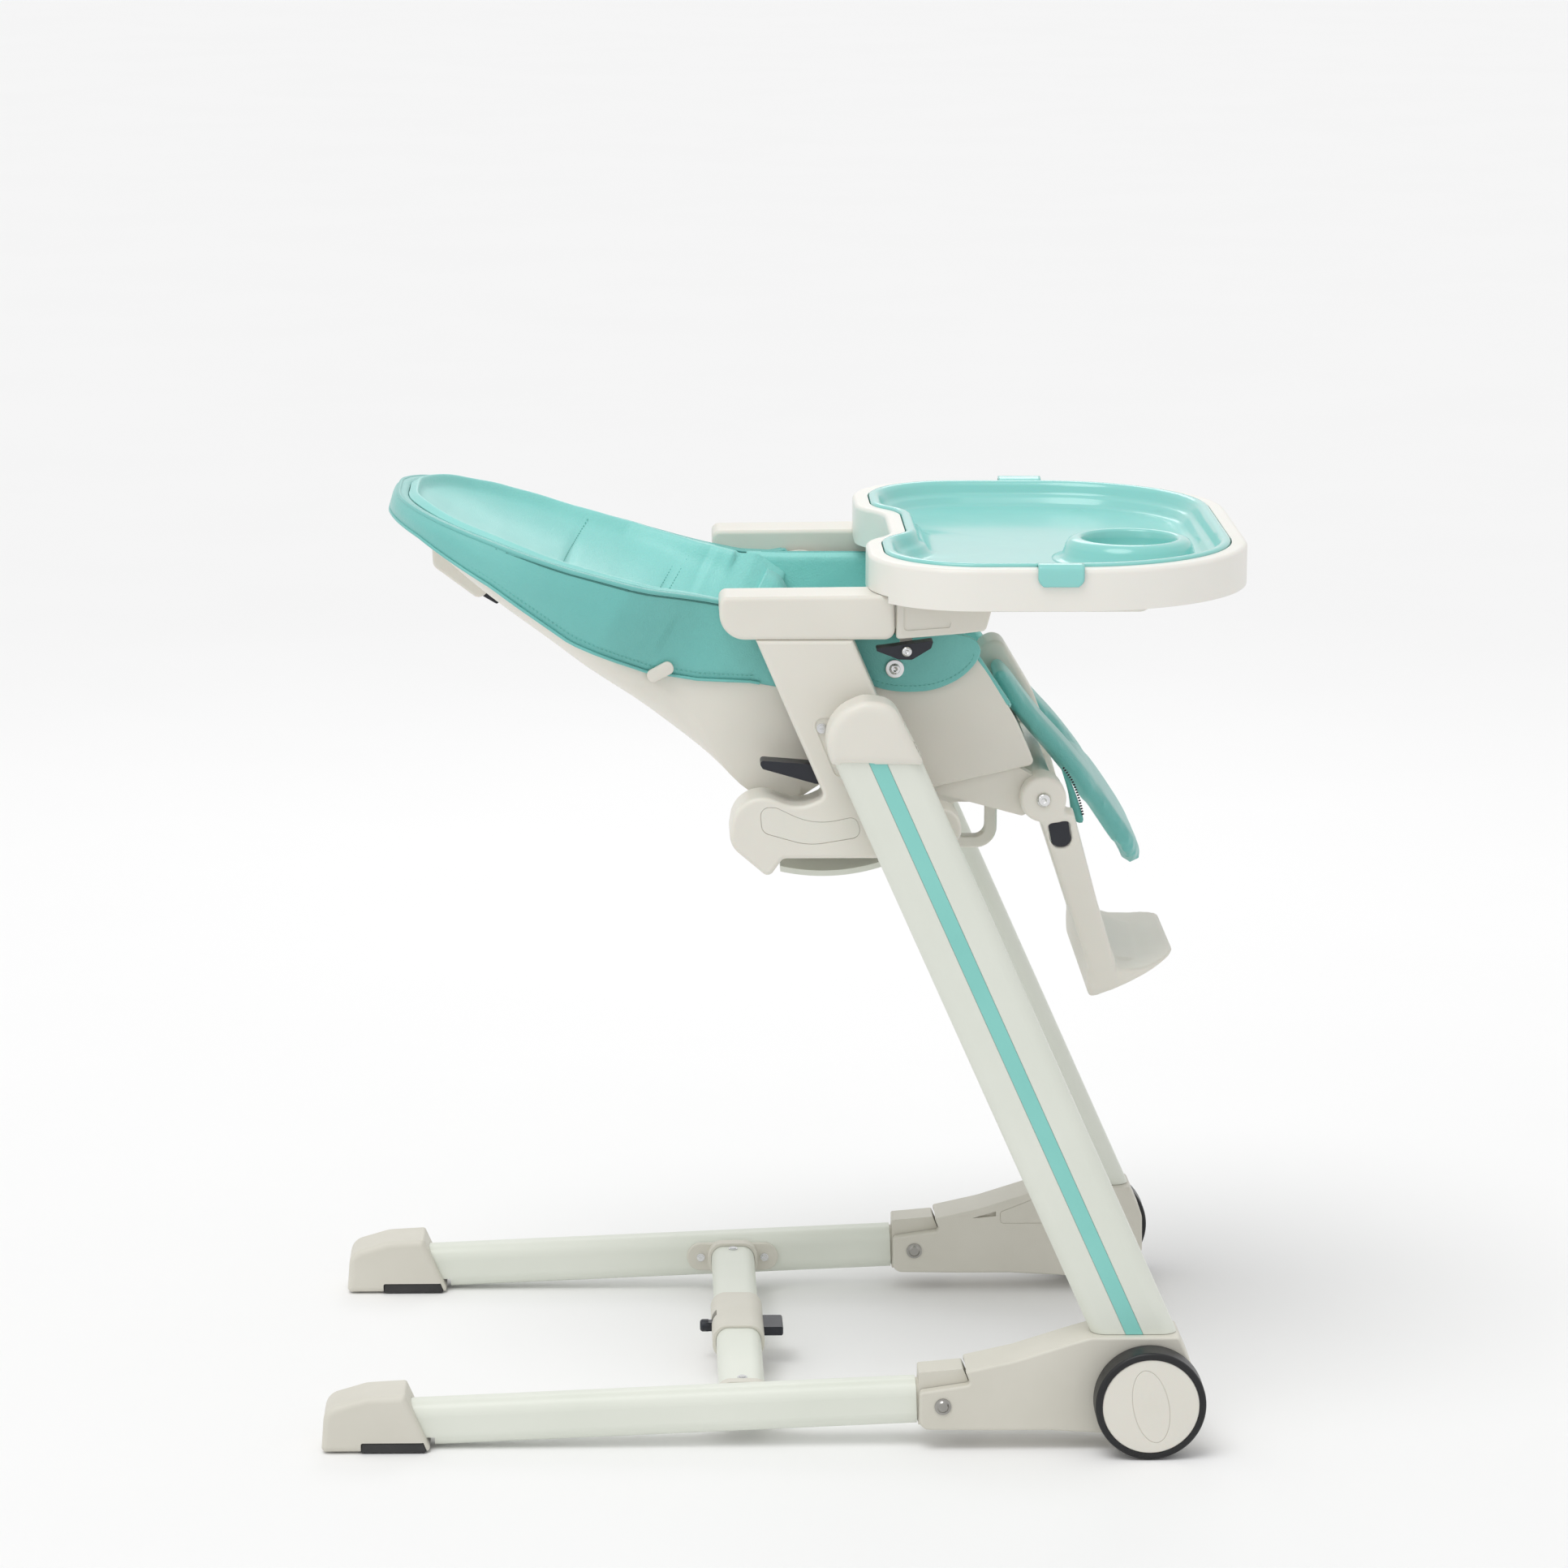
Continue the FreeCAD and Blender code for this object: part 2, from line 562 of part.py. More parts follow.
def under_seat():
    # curved beam between the side frames, round the recline axis
    r_out = 172.0
    ring = pin(recline_x, recline_z, r_out, -frame_in, frame_in)
    ring = ring.cut(pin(recline_x, recline_z, r_out - 5, -frame_in, frame_in))
    keep = slab([(-10, 500, 0), (-10, 534, 0), (118, 560, 0), (118, 500, 0)], -frame_in, frame_in)
    save("under_seat_beam", ring.common(keep))
    # brackets that carry the footrest
    bracket = slab([(120, 590, 3), (132, 581, 20), (209, 560, 4), (footrest_x + 8, footrest_z - 6, 8),
                    (footrest_x - 2, footrest_z + 14, 8), (205, 605, 3), (200, 612, 0), (140, 600, 3)],
                   pan_half - 22, pan_half - 4)
    bracket = bracket.fuse(pin(footrest_x, footrest_z, knuckle_r - 1, pan_half - 22, pan_half - 4))
    bracket = bracket.removeSplitter().cut(pin(footrest_x, footrest_z, 5 + run_clear, 0, 300))
    save("footrest_brackets", both(bracket))


def crotch_post():
    outline = [(172, 640, 0), (176, 694, 16), (196, 702, 12), (228, 648, 80), (245, 604, 4), (232, 604, 4),
               (214, 640, 8)]
    post = slab(outline, -24, 24)
    post = soften(post, 5, 1, -24, 24)
    post = post.cut(slab([(150, 600, 0), (150, floor_top + 8, 0), (214.5, floor_top + 8, 0), (221, 600, 0)],
                         -30, 30))
    save("crotch_post", post)


def fold_handle():
    # pull loop whose top bar runs up and down inside a guide under the seat
    half, wall = 8.0, 11.0
    rear, front, low, high = 145.0, 196.0, 500.0, 558.0
    outline = [(rear, high, 3), (rear, low, 20), (front, low, 20), (front, high, 3)]
    hole = [(rear + wall, high - 9, 4), (rear + wall, low + wall, 10), (front - wall, low + wall, 10),
            (front - wall, high - 9, 4)]
    handle = slab(outline, -half, half).cut(slab(hole, -half - 1, half + 1))
    save("fold_handle", soften(handle, 2, 1, -half, half))
    guide = block(rear - 5, front + 5, -half - 5, half + 5, high - 13, floor_top - floor_thick)
    room = block(rear - 0.8, front + 0.8, -half - 0.8, half + 0.8, high - 20, high + 16)
    save("handle_guide", guide.cut(room))


def levers():
    mid = (frame_in + arm_out) / 2
    lever = slab([(-31.5, 622.5, 3), (18, 618.5, 0), (44, 620, 4), (44, 602, 4), (20, 601, 0), (-27, 614.5, 3)],
                 mid - 10, mid + 10)
    lever = lever.cut(pin(lever_x, lever_z, 3 + run_clear, 0, 300))
    save_pair("height_lever", lever)
    latch = slab([(68.5, 724.2, 1.5), (81, 725.4, 3), (124, 731.4, 1), (122, 724.6, 3), (105, 714.2, 4),
                  (93.5, 714.4, 4)], arm_out - 24, arm_out - 8)
    latch = latch.cut(pin(latch_x, latch_z, 3 + run_clear, 0, 300))
    save_pair("tray_latch", latch)


# ---- backrest -----------------------------------------------------------------------
def to_back(shape):
    # from the backrest's own frame (X is u, Z is w) to its place
    copy = shape.mirror(V(0, 0, 0), V(1, 0, 0))
    copy.rotate(V(0, 0, 0), V(0, 1, 0), back_lean)
    copy.translate(V(recline_x, 0, recline_z))
    return copy


def back_plan(inset, w0=-160, w1=160):
    # the backrest seen square on, as a prism
    narrow, wide = plate_out - inset, back_wide - inset
    head, r = back_length - inset, head_r - inset
    return plate([(-160, -narrow, 0), (132, -narrow, 60), (196, -wide, 60), (head, 8 - wide, r),
                  (head, wide - 8, r), (196, wide, 60), (132, narrow, 60), (-160, narrow, 0)], w0, w1)


def shell_body(grow, rise=0.0):
    # solid body of the shell, grown on its outside faces, its rim raised
    g, t = grow, rise
    outline = [(-disc_r - g, disc_r * 0.95, 40), (-disc_r - g, -disc_r - g, 50), (-20, shell_low - 4 - g, 30),
               (4, shell_low - g, 60), (235, -84 - g, 90), (back_length + g, -64 - g, 8),
               (back_length + g, -50 + t, 0), (325, -31 + t, 90), (252, -17 + t, 90), (180, 1 + t, 90),
               (119, 20 + t, 60), (70, 40 + t, 60), (40, 64 + t, 30)]
    return slab(outline, -200, 200).common(back_plan(-g))


def shell_room(inset):
    # room inside the shell, open towards the child
    g = inset
    outline = [(-150, 120, 0), (-150, -70, 0), (-40, -112 + g, 0), (4, shell_low + g, 60), (235, -84 + g, 90),
               (back_length - g, -64 + g, 8), (back_length - g, 120, 0)]
    return slab(outline, -200, 200).common(back_plan(g))


def backrest():
    shell = shell_body(0).cut(shell_room(plate_wall))
    shell = to_back(shell)
    # clear of the seat pan's floor, in front of and above the recline axis
    away = block(recline_x - 8, 300, -plate_in, plate_in, 500, 800)
    shell = shell.cut(away).cut(pin(recline_x, recline_z, 6 + run_clear, -300, 300))
    save("backrest_shell", shell)
    # cushion between shell and child
    pad = slab([(34, back_face - 22, 8), (34, back_face, 8), (300, back_face, 60),
                (back_length, back_face + 6, 0), (back_length, back_face - 0.4, 0),
                (235, back_face - 21, 60)], -200, 200)
    t, g = cover_thick, cover_gap
    lining_in = plate_wall + g + t
    pad = pad.common(back_plan(lining_in + 0.8)).common(back_plan(plate_out - pan_half + pan_wall + 3).fuse(
        block(lining_from, 500, -250, 250, -160, 160)))
    save("back_cushion", to_back(pad))
    # padded cover: outside skirt down to a hem, over the rim, and the lining inside it
    skin = shell_body(g + t, g + t).cut(shell_body(g, g)).cut(back_plan(lining_in))
    lining = back_plan(plate_wall + g).cut(back_plan(lining_in)).common(shell_room(plate_wall + g))
    lining = lining.common(shell_body(0, g + t)).common(block(lining_from, 500, -250, 250, back_face - 6, 200))
    hem = slab([(52, 200, 0), (52, 16, 0), (12, 10, 0), (12, -10, 0), (60, -26, 60), (100, -48, 60),
                (145, -64, 60), (220, -71, 60), (305, -62, 60), (380, -60, 0), (460, -62, 0), (460, 200, 0)],
               -250, 250)
    save("back_cover", to_back(skin.common(hem).fuse(lining).removeSplitter()))
    # recline mechanism on the back of the shell
    box = slab([(296, -85, 2), (300, -99, 8), (352, -92, 8), (368, -66, 4), (340, -66, 0), (300, -70, 0)], -38, 38)
    box = soften(box, 3, 1, -38, 38)
    box = box.cut(shell_body(0.05)).cut(slab([(280, -98, 0), (280, -86, 0), (326, -86, 0), (326, -98, 0)], -30, 30))
    save("recline_housing", to_back(box))
    grip = slab([(283, -96.5, 2), (283, -86.6, 2), (322, -86.6, 2), (322, -95.5, 2)], -27, 27)
    save("recline_handle", to_back(soften(grip, 1.5, 1, -27, 27)))


# ---- soft parts of the seat ---------------------------------------------------------
def seat_softs():
    low = floor_top + 1.0
    half = pan_half - pan_wall - 3
    rear = recline_x - 27
    cushion = slab([(rear, low, 4), (rear, low + cushion_thick, 8), (150, low + cushion_thick + 3, 60),
                    (203, low + cushion_thick + 3, 12), (206, low + 8, 4), (160, low + 4, 60)], -half, half)
    cushion = cushion.cut(block(166, 300, -27, 27, 600, 700))
    save("seat_cushion", cushion)
    # side flaps of the cover, buttoned to the pan
    inner = pan_half + plate_gap + plate_wall + cover_gap
    flap = slab([(50, 727, 2), (50, 700, 4), (76, 679, 12), (120, 679, 40), (158, 697, 20), (172, 716, 6),
                 (160, 727, 6)], inner, inner + cover_thick)
    knob_x, knob_z = 92.0, 698.0
    flap = flap.cut(pin(knob_x, knob_z, 4.2, 0, 300))
    flap = flap.fuse(slab([(112, 690, 2), (158, 705, 8), (158, 724, 2), (112, 724, 2)], pan_half + 0.1, inner + 1))
    save("cover_flaps", both(flap.removeSplitter()))
    knob = washer(knob_x, knob_z, inner + cover_thick + 0.1, inner + cover_thick + 2.6, 8.5, 4)
    knob = knob.makeFillet(0.8, edges_at(knob, 1, inner + cover_thick + 2.6)[:1])
    save("cover_buttons", both(knob.fuse(pin(knob_x, knob_z, 3.9, pan_half, inner + cover_thick + 2.0))))
    # waist straps, crotch strap and buckle, laid on the cushion
    top = low + cushion_thick
    waist = block(96, 121, 24, 132, top + 3.2, top + 5.2)
    buckle = plate([(88, -22, 10), (128, -22, 10), (128, 22, 10), (88, 22, 10)], top + 3.2, top + 15)
    save("harness_buckle", buckle)
    crotch = block(128.2, 164, -12.5, 12.5, top + 4.4, top + 6.4)
    save("lap_straps", group([both(waist), crotch]))


# ---- footrest -----------------------------------------------------------------------
def footrest():
    y0, y1 = pan_half - 3, pan_half + 17
    thick = y1 - y0 - 3
    knuckle = pin(footrest_x, footrest_z, knuckle_r, y0, y1)
    knuckle = knuckle.makeFillet(2, edges_at(knuckle, 1, y1))

    def lean(shape):
        # the arms come together towards the footplate
        copy = shape.copy()
        copy.rotate(V(0, y0 + 1 + thick, footrest_z - knuckle_r - 3), V(1, 0, 0), -arm_lean)
        return copy
    arm = slab([(225.5, 566, 0), (225.5, 557, 2), (281, 383, 3), (330, 398, 20), (348, 412, 2),
                (318, 404, 16), (297, 414, 14), (280, 470, 60), (254, 566, 0)], y0 + 1, y0 + 1 + thick)
    arm = soften(arm, 1.5, 1, y0 + 1 + thick)
    window = slab([(231, 556, 2), (250.5, 559.5, 2), (254, 534, 8), (235.5, 534, 8)], y0 - 9, y1 + 9)
    arm = lean(arm).cut(window).cut(block(200, 270, 0, y0, footrest_z - 25, footrest_z))
    arm = arm.fuse(knuckle).removeSplitter().cut(pin(footrest_x, footrest_z, 5, 0, 300))
    save("footrest_arms", both(arm))
    button = slab([(231.6, 555.4, 1.5), (249.9, 558.8, 1.5), (253.2, 534.6, 7.5), (236, 534.6, 7.5)],
                  y1 - 15, y1 - 7)
    save_pair("footrest_button", button)
    shaft = pin(footrest_x, footrest_z, 5, -y1 - 0.2, y1 + 0.2)
    tube = pin(footrest_x, footrest_z, 14, -(pan_half - 22.5), pan_half - 22.5)
    cap = pin(footrest_x, footrest_z, 5.6, y1 + 0.2, y1 + 1.8)
    save("footrest_shaft", shaft.fuse([tube, cap, mirror(cap)]).removeSplitter())
    # scooped plate with a round front, between the arms
    tread = slab([(283, 388, 3), (340, 404, 24), (357, 424, 2), (352, 425, 2), (322, 406, 24),
                  (304, 402, 14), (294, 424, 3), (287, 424, 3)], -200, 200)
    plan = [(270, -130, 0), (footplate_front, -118, 62), (footplate_front, 118, 62), (270, 130, 0)]
    tread = tread.common(plate(plan, 300, 500))
    side = lean(block(200, 400, y0 + 0.7, y0 + 80, 300, 560))
    save("footplate", tread.cut(side).cut(mirror(side)))
    pad = slab([(254, 591, 4), (270, 598, 5), (300, 553, 30), (323, 517, 6), (313, 511, 5), (286, 536, 30)],
               -118, 118)
    save("calf_pad", pad)


# ---- tray ---------------------------------------------------------------------------
def tray_plan(inset):
    g = inset
    rear, waist = tray_rear + g, tray_waist + g
    front, side = tray_front - g, tray_half - g
    rear_r, front_r = 92 - g * 0.6, 165 - g
    ends = [(rear, -side, rear_r), (front, -side, front_r), (front, side, front_r), (rear, side, rear_r)]
    return ends + [(rear, 95, 60), (waist, 62, 60), (waist, -62, 60), (rear, -95, 60)]


def tray():
    base = plate(tray_plan(0), tray_bottom, tray_top)
    base = soften(base, 4, 2, tray_top)
    top = plate(tray_plan(14), tray_top - 24, tray_top + 5)
    under = plate(tray_plan(tray_wall), tray_bottom - 5, tray_top - 27)
    rim = plate(tray_plan(tray_wall), tray_bottom, tray_top - 4)
    rim = rim.cut(plate(tray_plan(11), tray_bottom - 1, tray_top))
    base = base.cut(top).cut(under).cut(rim)
    plate_low = 743.0
    box = slab([(150, tray_top - 27, 0), (165, plate_low, 12), (320, plate_low, 12), (350, tray_top - 27, 0)],
               -118, 118)
    box = box.cut(slab([(160, tray_top - 20, 0), (169, plate_low + 3, 9), (316, plate_low + 3, 9),
                        (340, tray_top - 20, 0)], -115, 115))
    base = base.fuse(box).removeSplitter()
    base = base.cut(pin_up(cup_x, cup_y, cup_r + 2, tray_top - cup_depth - 1, tray_top))
    # the rear lobes stand over the armrests' front ends
    over = block(0, 91, arm_in - 1, arm_out + 8, 700, arm_top + 0.6)
    save("tray_base", base.cut(over).cut(mirror(over)))
    # arms that slide in the armrests
    low, high = arm_bottom + 9, arm_top - 9
    tongue = block(-40, 95, arm_in + 13, arm_out - 7, low, high)
    body = slab([(90.5, 733.5, 3), (90.5, tray_bottom + 2, 0), (178, tray_bottom + 2, 0), (170, 741, 5),
                 (150, 738.5, 8)], arm_in + 2, arm_out - 3)
    body = soften(body, 2, 1, arm_in + 2, arm_out - 3)
    web = slab([(110, 752, 0), (110, tray_bottom + 2, 0), (170, tray_bottom + 2, 0), (168, 752, 0)],
               118.4, arm_in + 5)
    arm = body.fuse([tongue, web]).removeSplitter().cut(under_room())
    panel = slab([(97, 741, 4), (97, 764, 2), (118, 762, 4), (140, 750, 4), (138, 744, 2)],
                 arm_out - 4, arm_out)
    # lug under the arm with the moulded pin that the latch turns on
    lug = slab([(95, 715, 4), (95, 736, 0), (106, 736, 0), (106, 715, 4)], arm_out - 27, arm_out - 24.4)
    stud = pin(latch_x, latch_z, 3, arm_out - 27, arm_out - 7)
    arm = arm.cut(panel).fuse([lug, stud]).removeSplitter()
    save("tray_arms", both(arm))
    # food tray that lifts out
    dish = plate(tray_plan(14.6), tray_top - 23, tray_top + 2.5)
    dish = soften(dish, 2, 2, tray_top + 2.5)
    dish = dish.cut(plate(tray_plan(26), tray_top - 20.5, tray_top + 5))
    ring = pin_up(cup_x, cup_y, cup_r + 9, tray_top - 21, tray_top - 4)
    dish = dish.fuse(ring)
    dish = dish.cut(pin_up(cup_x, cup_y, cup_r, tray_top - 34, tray_top + 5))
    cup = pin_up(cup_x, cup_y, cup_r + 1.5, tray_top - cup_depth, tray_top - 20)
    cup = cup.cut(pin_up(cup_x, cup_y, cup_r - 0.5, tray_top - 34, tray_top - 19))
    dish = dish.fuse(cup)
    for side in (1, -1):
        tab = block(211, 252.6, tray_half - 20, tray_half + 2.6, tray_top + 0.6, tray_top + 2.5)
        lip = block(211, 252.6, tray_half + 0.7, tray_half + 2.6, tray_top - 15, tray_top + 2)
        clip = tab.fuse(lip)
        dish = dish.fuse(clip if side > 0 else mirror(clip))
    save("tray_insert", dish.removeSplitter())


def under_room():
    return plate(tray_plan(tray_wall), tray_top - 27, tray_top)


def pin_up(x, y, r, z0, z1):
    return Part.makeCylinder(r, z1 - z0, V(x, y, z0))


os.makedirs("parts", exist_ok=True)
rails()
rear_feet()
crossbar()
hinge_housings()
wheels()
legs()
leg_caps()
side_frames()
sliders()
armrests()
seat_pan()
seat_fasteners()
under_seat()
crotch_post()
fold_handle()
levers()
backrest()
seat_softs()
footrest()
tray()
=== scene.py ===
import json
import math

import bmesh
import bpy
from mathutils import Matrix, Vector, noise


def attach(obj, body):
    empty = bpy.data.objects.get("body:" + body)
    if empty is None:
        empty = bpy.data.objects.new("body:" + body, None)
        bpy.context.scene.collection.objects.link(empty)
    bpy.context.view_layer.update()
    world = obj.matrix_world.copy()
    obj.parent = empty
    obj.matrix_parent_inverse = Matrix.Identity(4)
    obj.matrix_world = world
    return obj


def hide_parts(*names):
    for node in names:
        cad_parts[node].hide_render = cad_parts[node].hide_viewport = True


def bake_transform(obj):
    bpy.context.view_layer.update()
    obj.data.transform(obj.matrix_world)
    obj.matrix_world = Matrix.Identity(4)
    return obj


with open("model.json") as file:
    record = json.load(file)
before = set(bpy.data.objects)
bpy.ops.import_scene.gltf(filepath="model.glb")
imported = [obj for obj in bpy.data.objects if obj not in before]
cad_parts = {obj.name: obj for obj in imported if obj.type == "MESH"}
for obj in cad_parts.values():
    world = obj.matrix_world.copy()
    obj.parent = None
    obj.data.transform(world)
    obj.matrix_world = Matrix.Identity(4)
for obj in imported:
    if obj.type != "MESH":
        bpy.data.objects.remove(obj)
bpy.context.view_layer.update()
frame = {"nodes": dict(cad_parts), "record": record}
nodes = frame["nodes"]
print("frame loaded,", len(nodes), "nodes")

# camera, aimed with its own pitch, yaw and roll
cameraSetup = {"place": (-0.1533, -4.807, 1.595), "lens": 121.6, "sensor": 36.0,
               "pitch": 0.21208, "yaw": 0.03148, "roll": 0.0042}


def makeCamera():
    c = cameraSetup
    sy, cy, sp, cp = math.sin(c["yaw"]), math.cos(c["yaw"]), math.sin(c["pitch"]), math.cos(c["pitch"])
    forward = Vector((sy * cp, cy * cp, -sp))
    right = Vector((cy, -sy, 0))
    up = right.cross(forward)
    tiltedRight = right * math.cos(c["roll"]) + up * math.sin(c["roll"])
    tiltedUp = up * math.cos(c["roll"]) - right * math.sin(c["roll"])
    data = bpy.data.cameras.new("camera")
    data.lens, data.sensor_width, data.clip_end = c["lens"], c["sensor"], 60
    camera = bpy.data.objects.new("camera", data)
    turn = Matrix((tiltedRight, tiltedUp, -forward)).transposed().to_4x4()
    camera.matrix_world = Matrix.Translation(c["place"]) @ turn
    bpy.context.scene.collection.objects.link(camera)
    bpy.context.scene.camera = camera


makeCamera()


# finishes: each is two near tones, a roughness that varies and a fine bump
def tone(r, g, b):
    return tuple(((c / 255 + 0.055) / 1.055) ** 2.4 if c > 10 else c / 3294 for c in (r, g, b)) + (1.0,)


def makeMaterial(name, look):
    material = bpy.data.materials.new(name)
    material.use_nodes = True
    tree = material.node_tree
    shader = tree.nodes["Principled BSDF"]
    place = tree.nodes.new("ShaderNodeTexCoord")

    def noiseNode(scale, detail, rough=0.5):
        node = tree.nodes.new("ShaderNodeTexNoise")
        node.inputs["Scale"].default_value = scale
        node.inputs["Detail"].default_value = detail
        node.inputs["Roughness"].default_value = rough
        tree.links.new(place.outputs["Object"], node.inputs["Vector"])
        return node.outputs["Fac"]

    mix = tree.nodes.new("ShaderNodeMix")
    mix.data_type = "RGBA"
    mix.inputs[6].default_value = tone(*look["colour"])
    mix.inputs[7].default_value = tone(*look["shade"])
    spread = tree.nodes.new("ShaderNodeMapRange")
    spread.inputs["From Min"].default_value, spread.inputs["From Max"].default_value = 0.35, 0.7
    tree.links.new(noiseNode(look["mottle"], 4), spread.inputs["Value"])
    tree.links.new(spread.outputs["Result"], mix.inputs[0])
    tree.links.new(mix.outputs[2], shader.inputs["Base Color"])
    rough = tree.nodes.new("ShaderNodeMapRange")
    rough.inputs["To Min"].default_value = look["rough"] - look["roughSpread"]
    rough.inputs["To Max"].default_value = look["rough"] + look["roughSpread"]
    tree.links.new(noiseNode(look["mottle"] * 3, 3), rough.inputs["Value"])
    tree.links.new(rough.outputs["Result"], shader.inputs["Roughness"])
    bump = tree.nodes.new("ShaderNodeBump")
    bump.inputs["Strength"].default_value = look["depth"]
    bump.inputs["Distance"].default_value = look["bumpHeight"]
    if look.get("cells"):
        cells = tree.nodes.new("ShaderNodeTexVoronoi")
        cells.feature = "SMOOTH_F1"
        cells.inputs["Scale"].default_value = look["cells"]
        tree.links.new(place.outputs["Object"], cells.inputs["Vector"])
        height = tree.nodes.new("ShaderNodeMath")
        height.operation = "ADD"
        soft = tree.nodes.new("ShaderNodeMath")
        soft.operation = "MULTIPLY"
        soft.inputs[1].default_value = look.get("crease", 2.0)
        tree.links.new(noiseNode(look["grain"], 5, 0.6), soft.inputs[0])
        tree.links.new(cells.outputs["Distance"], height.inputs[0])
        tree.links.new(soft.outputs[0], height.inputs[1])
        tree.links.new(height.outputs[0], bump.inputs["Height"])
    elif look.get("ribs"):
        wave = tree.nodes.new("ShaderNodeTexWave")
        wave.bands_direction = look.get("ribAxis", "X")
        wave.inputs["Scale"].default_value = look["ribs"]
        wave.inputs["Distortion"].default_value = 0.4
        tree.links.new(place.outputs["Object"], wave.inputs["Vector"])
        tree.links.new(wave.outputs["Fac"], bump.inputs["Height"])
    else:
        tree.links.new(noiseNode(look["grain"], 3), bump.inputs["Height"])
    tree.links.new(bump.outputs["Normal"], shader.inputs["Normal"])
    shader.inputs["Metallic"].default_value = look.get("metal", 0.0)
    shader.inputs["Coat Weight"].default_value = look.get("coat", 0.0)
    shader.inputs["Coat Roughness"].default_value = look.get("coatRough", 0.1)
    shader.inputs["Sheen Weight"].default_value = look.get("sheen", 0.0)
    shader.inputs["Subsurface Weight"].default_value = look.get("soft", 0.0)
    shader.inputs["Subsurface Scale"].default_value = 0.004
    shader.inputs["IOR"].default_value = look.get("ior", 1.46)
    return material


looks = {
    "painted_tube": {"colour": (228, 231, 221), "shade": (222, 226, 215), "mottle": 6, "rough": 0.42,
                     "roughSpread": 0.06, "grain": 900, "depth": 0.25, "bumpHeight": 0.0001, "coat": 0.1},
    "foot_plastic": {"colour": (217, 214, 203), "shade": (209, 206, 194), "mottle": 9, "rough": 0.5,
                     "roughSpread": 0.07, "grain": 1300, "depth": 0.4, "bumpHeight": 0.00012},
    "seat_plastic": {"colour": (229, 226, 216), "shade": (224, 221, 211), "mottle": 7, "rough": 0.4,
                     "roughSpread": 0.06, "grain": 1100, "depth": 0.3, "bumpHeight": 0.0001, "soft": 0.05},
    "tray_plastic": {"colour": (241, 239, 232), "shade": (236, 234, 226), "mottle": 7, "rough": 0.36,
                     "roughSpread": 0.05, "grain": 1100, "depth": 0.25, "bumpHeight": 0.0001, "coat": 0.1,
                     "soft": 0.05},
    "aqua_plastic": {"colour": (146, 216, 210), "shade": (140, 212, 206), "mottle": 5, "rough": 0.2,
                     "roughSpread": 0.04, "grain": 500, "depth": 0.12, "bumpHeight": 0.0001, "coat": 0.35,
                     "coatRough": 0.08, "soft": 0.08},
    "teal_trim": {"colour": (140, 212, 203), "shade": (132, 205, 196), "mottle": 9, "rough": 0.4,
                  "roughSpread": 0.06, "grain": 900, "depth": 0.2, "bumpHeight": 0.0001},
    "teal_leather": {"colour": (115, 193, 187), "shade": (105, 185, 179), "mottle": 11, "rough": 0.46,
                     "roughSpread": 0.08, "grain": 70, "cells": 750, "crease": 2.5, "depth": 0.5,
                     "bumpHeight": 0.0005, "sheen": 0.25, "coat": 0.3, "coatRough": 0.38,
                     "soft": 0.03},
    "dark_plastic": {"colour": (34, 37, 46), "shade": (25, 27, 34), "mottle": 14, "rough": 0.38,
                     "roughSpread": 0.08, "grain": 1300, "depth": 0.3, "bumpHeight": 0.0001},
    "bright_metal": {"colour": (222, 222, 222), "shade": (205, 206, 208), "mottle": 20, "rough": 0.16,
                     "roughSpread": 0.05, "grain": 700, "depth": 0.1, "bumpHeight": 0.00005, "metal": 1.0},
    "steel": {"colour": (168, 166, 162), "shade": (150, 148, 144), "mottle": 30, "rough": 0.32,
              "roughSpread": 0.08, "grain": 900, "depth": 0.2, "bumpHeight": 0.00008, "metal": 1.0},
    "pad_rubber": {"colour": (62, 62, 62), "shade": (50, 50, 50), "mottle": 20, "rough": 0.75,
                   "roughSpread": 0.08, "grain": 1500, "depth": 0.5, "bumpHeight": 0.0002},
    "tyre_rubber": {"colour": (24, 25, 27), "shade": (17, 18, 20), "mottle": 20, "rough": 0.4,
                    "roughSpread": 0.1, "grain": 900, "depth": 0.35, "bumpHeight": 0.0002},
    "webbing": {"colour": (52, 56, 62), "shade": (40, 43, 49), "mottle": 60, "rough": 0.8,
                "roughSpread": 0.08, "grain": 400, "ribs": 500, "depth": 0.7, "bumpHeight": 0.0004,
                "sheen": 0.25},
}
materials = {name: makeMaterial(name, look) for name, look in looks.items()}
extraLooks = {
    "stitch_thread": dict(looks["teal_leather"], colour=(98, 184, 175), shade=(88, 170, 161), rough=0.7,
                          depth=0.3, sheen=0.3),
    # darker teal for the thin tube under the back piping: painted shadow in the seam
    "seam_shadow": dict(looks["teal_leather"], colour=(70, 134, 128), shade=(58, 116, 110), rough=0.85),
    # lighter copy of the teal cover leather for the lining, seat pad and fold: painted sheen, standing in for light
    # reflected on the shaded interior
    "sheen_lit_leather": dict(looks["teal_leather"], colour=(150, 223, 217), shade=(141, 217, 211)),
    "floor": {"colour": (248, 248, 248), "shade": (247, 247, 247), "mottle": 2, "rough": 0.85,
              "roughSpread": 0.03, "grain": 60, "depth": 0.02, "bumpHeight": 0.0005},
}
for name, look in extraLooks.items():
    materials[name] = makeMaterial(name, look)

slotOf = {part["node"]: part["material_slot"] for part in frame["record"]["subparts"]}
for nodeName, node in nodes.items():
    node.data.materials.clear()
    node.data.materials.append(materials[slotOf[nodeName]])
print("materials made")


# small tools shared by the pieces
def newObject(name, mesh, material):
    piece = bpy.data.objects.new(name, mesh)
    bpy.context.scene.collection.objects.link(piece)
    mesh.materials.clear()
    mesh.materials.append(materials[material])
    for face in mesh.polygons:
        face.use_smooth = True
    return piece


def fromBmesh(name, bm, material):
    mesh = bpy.data.meshes.new(name)
    bm.to_mesh(mesh)
    bm.free()
    return newObject(name, mesh, material)


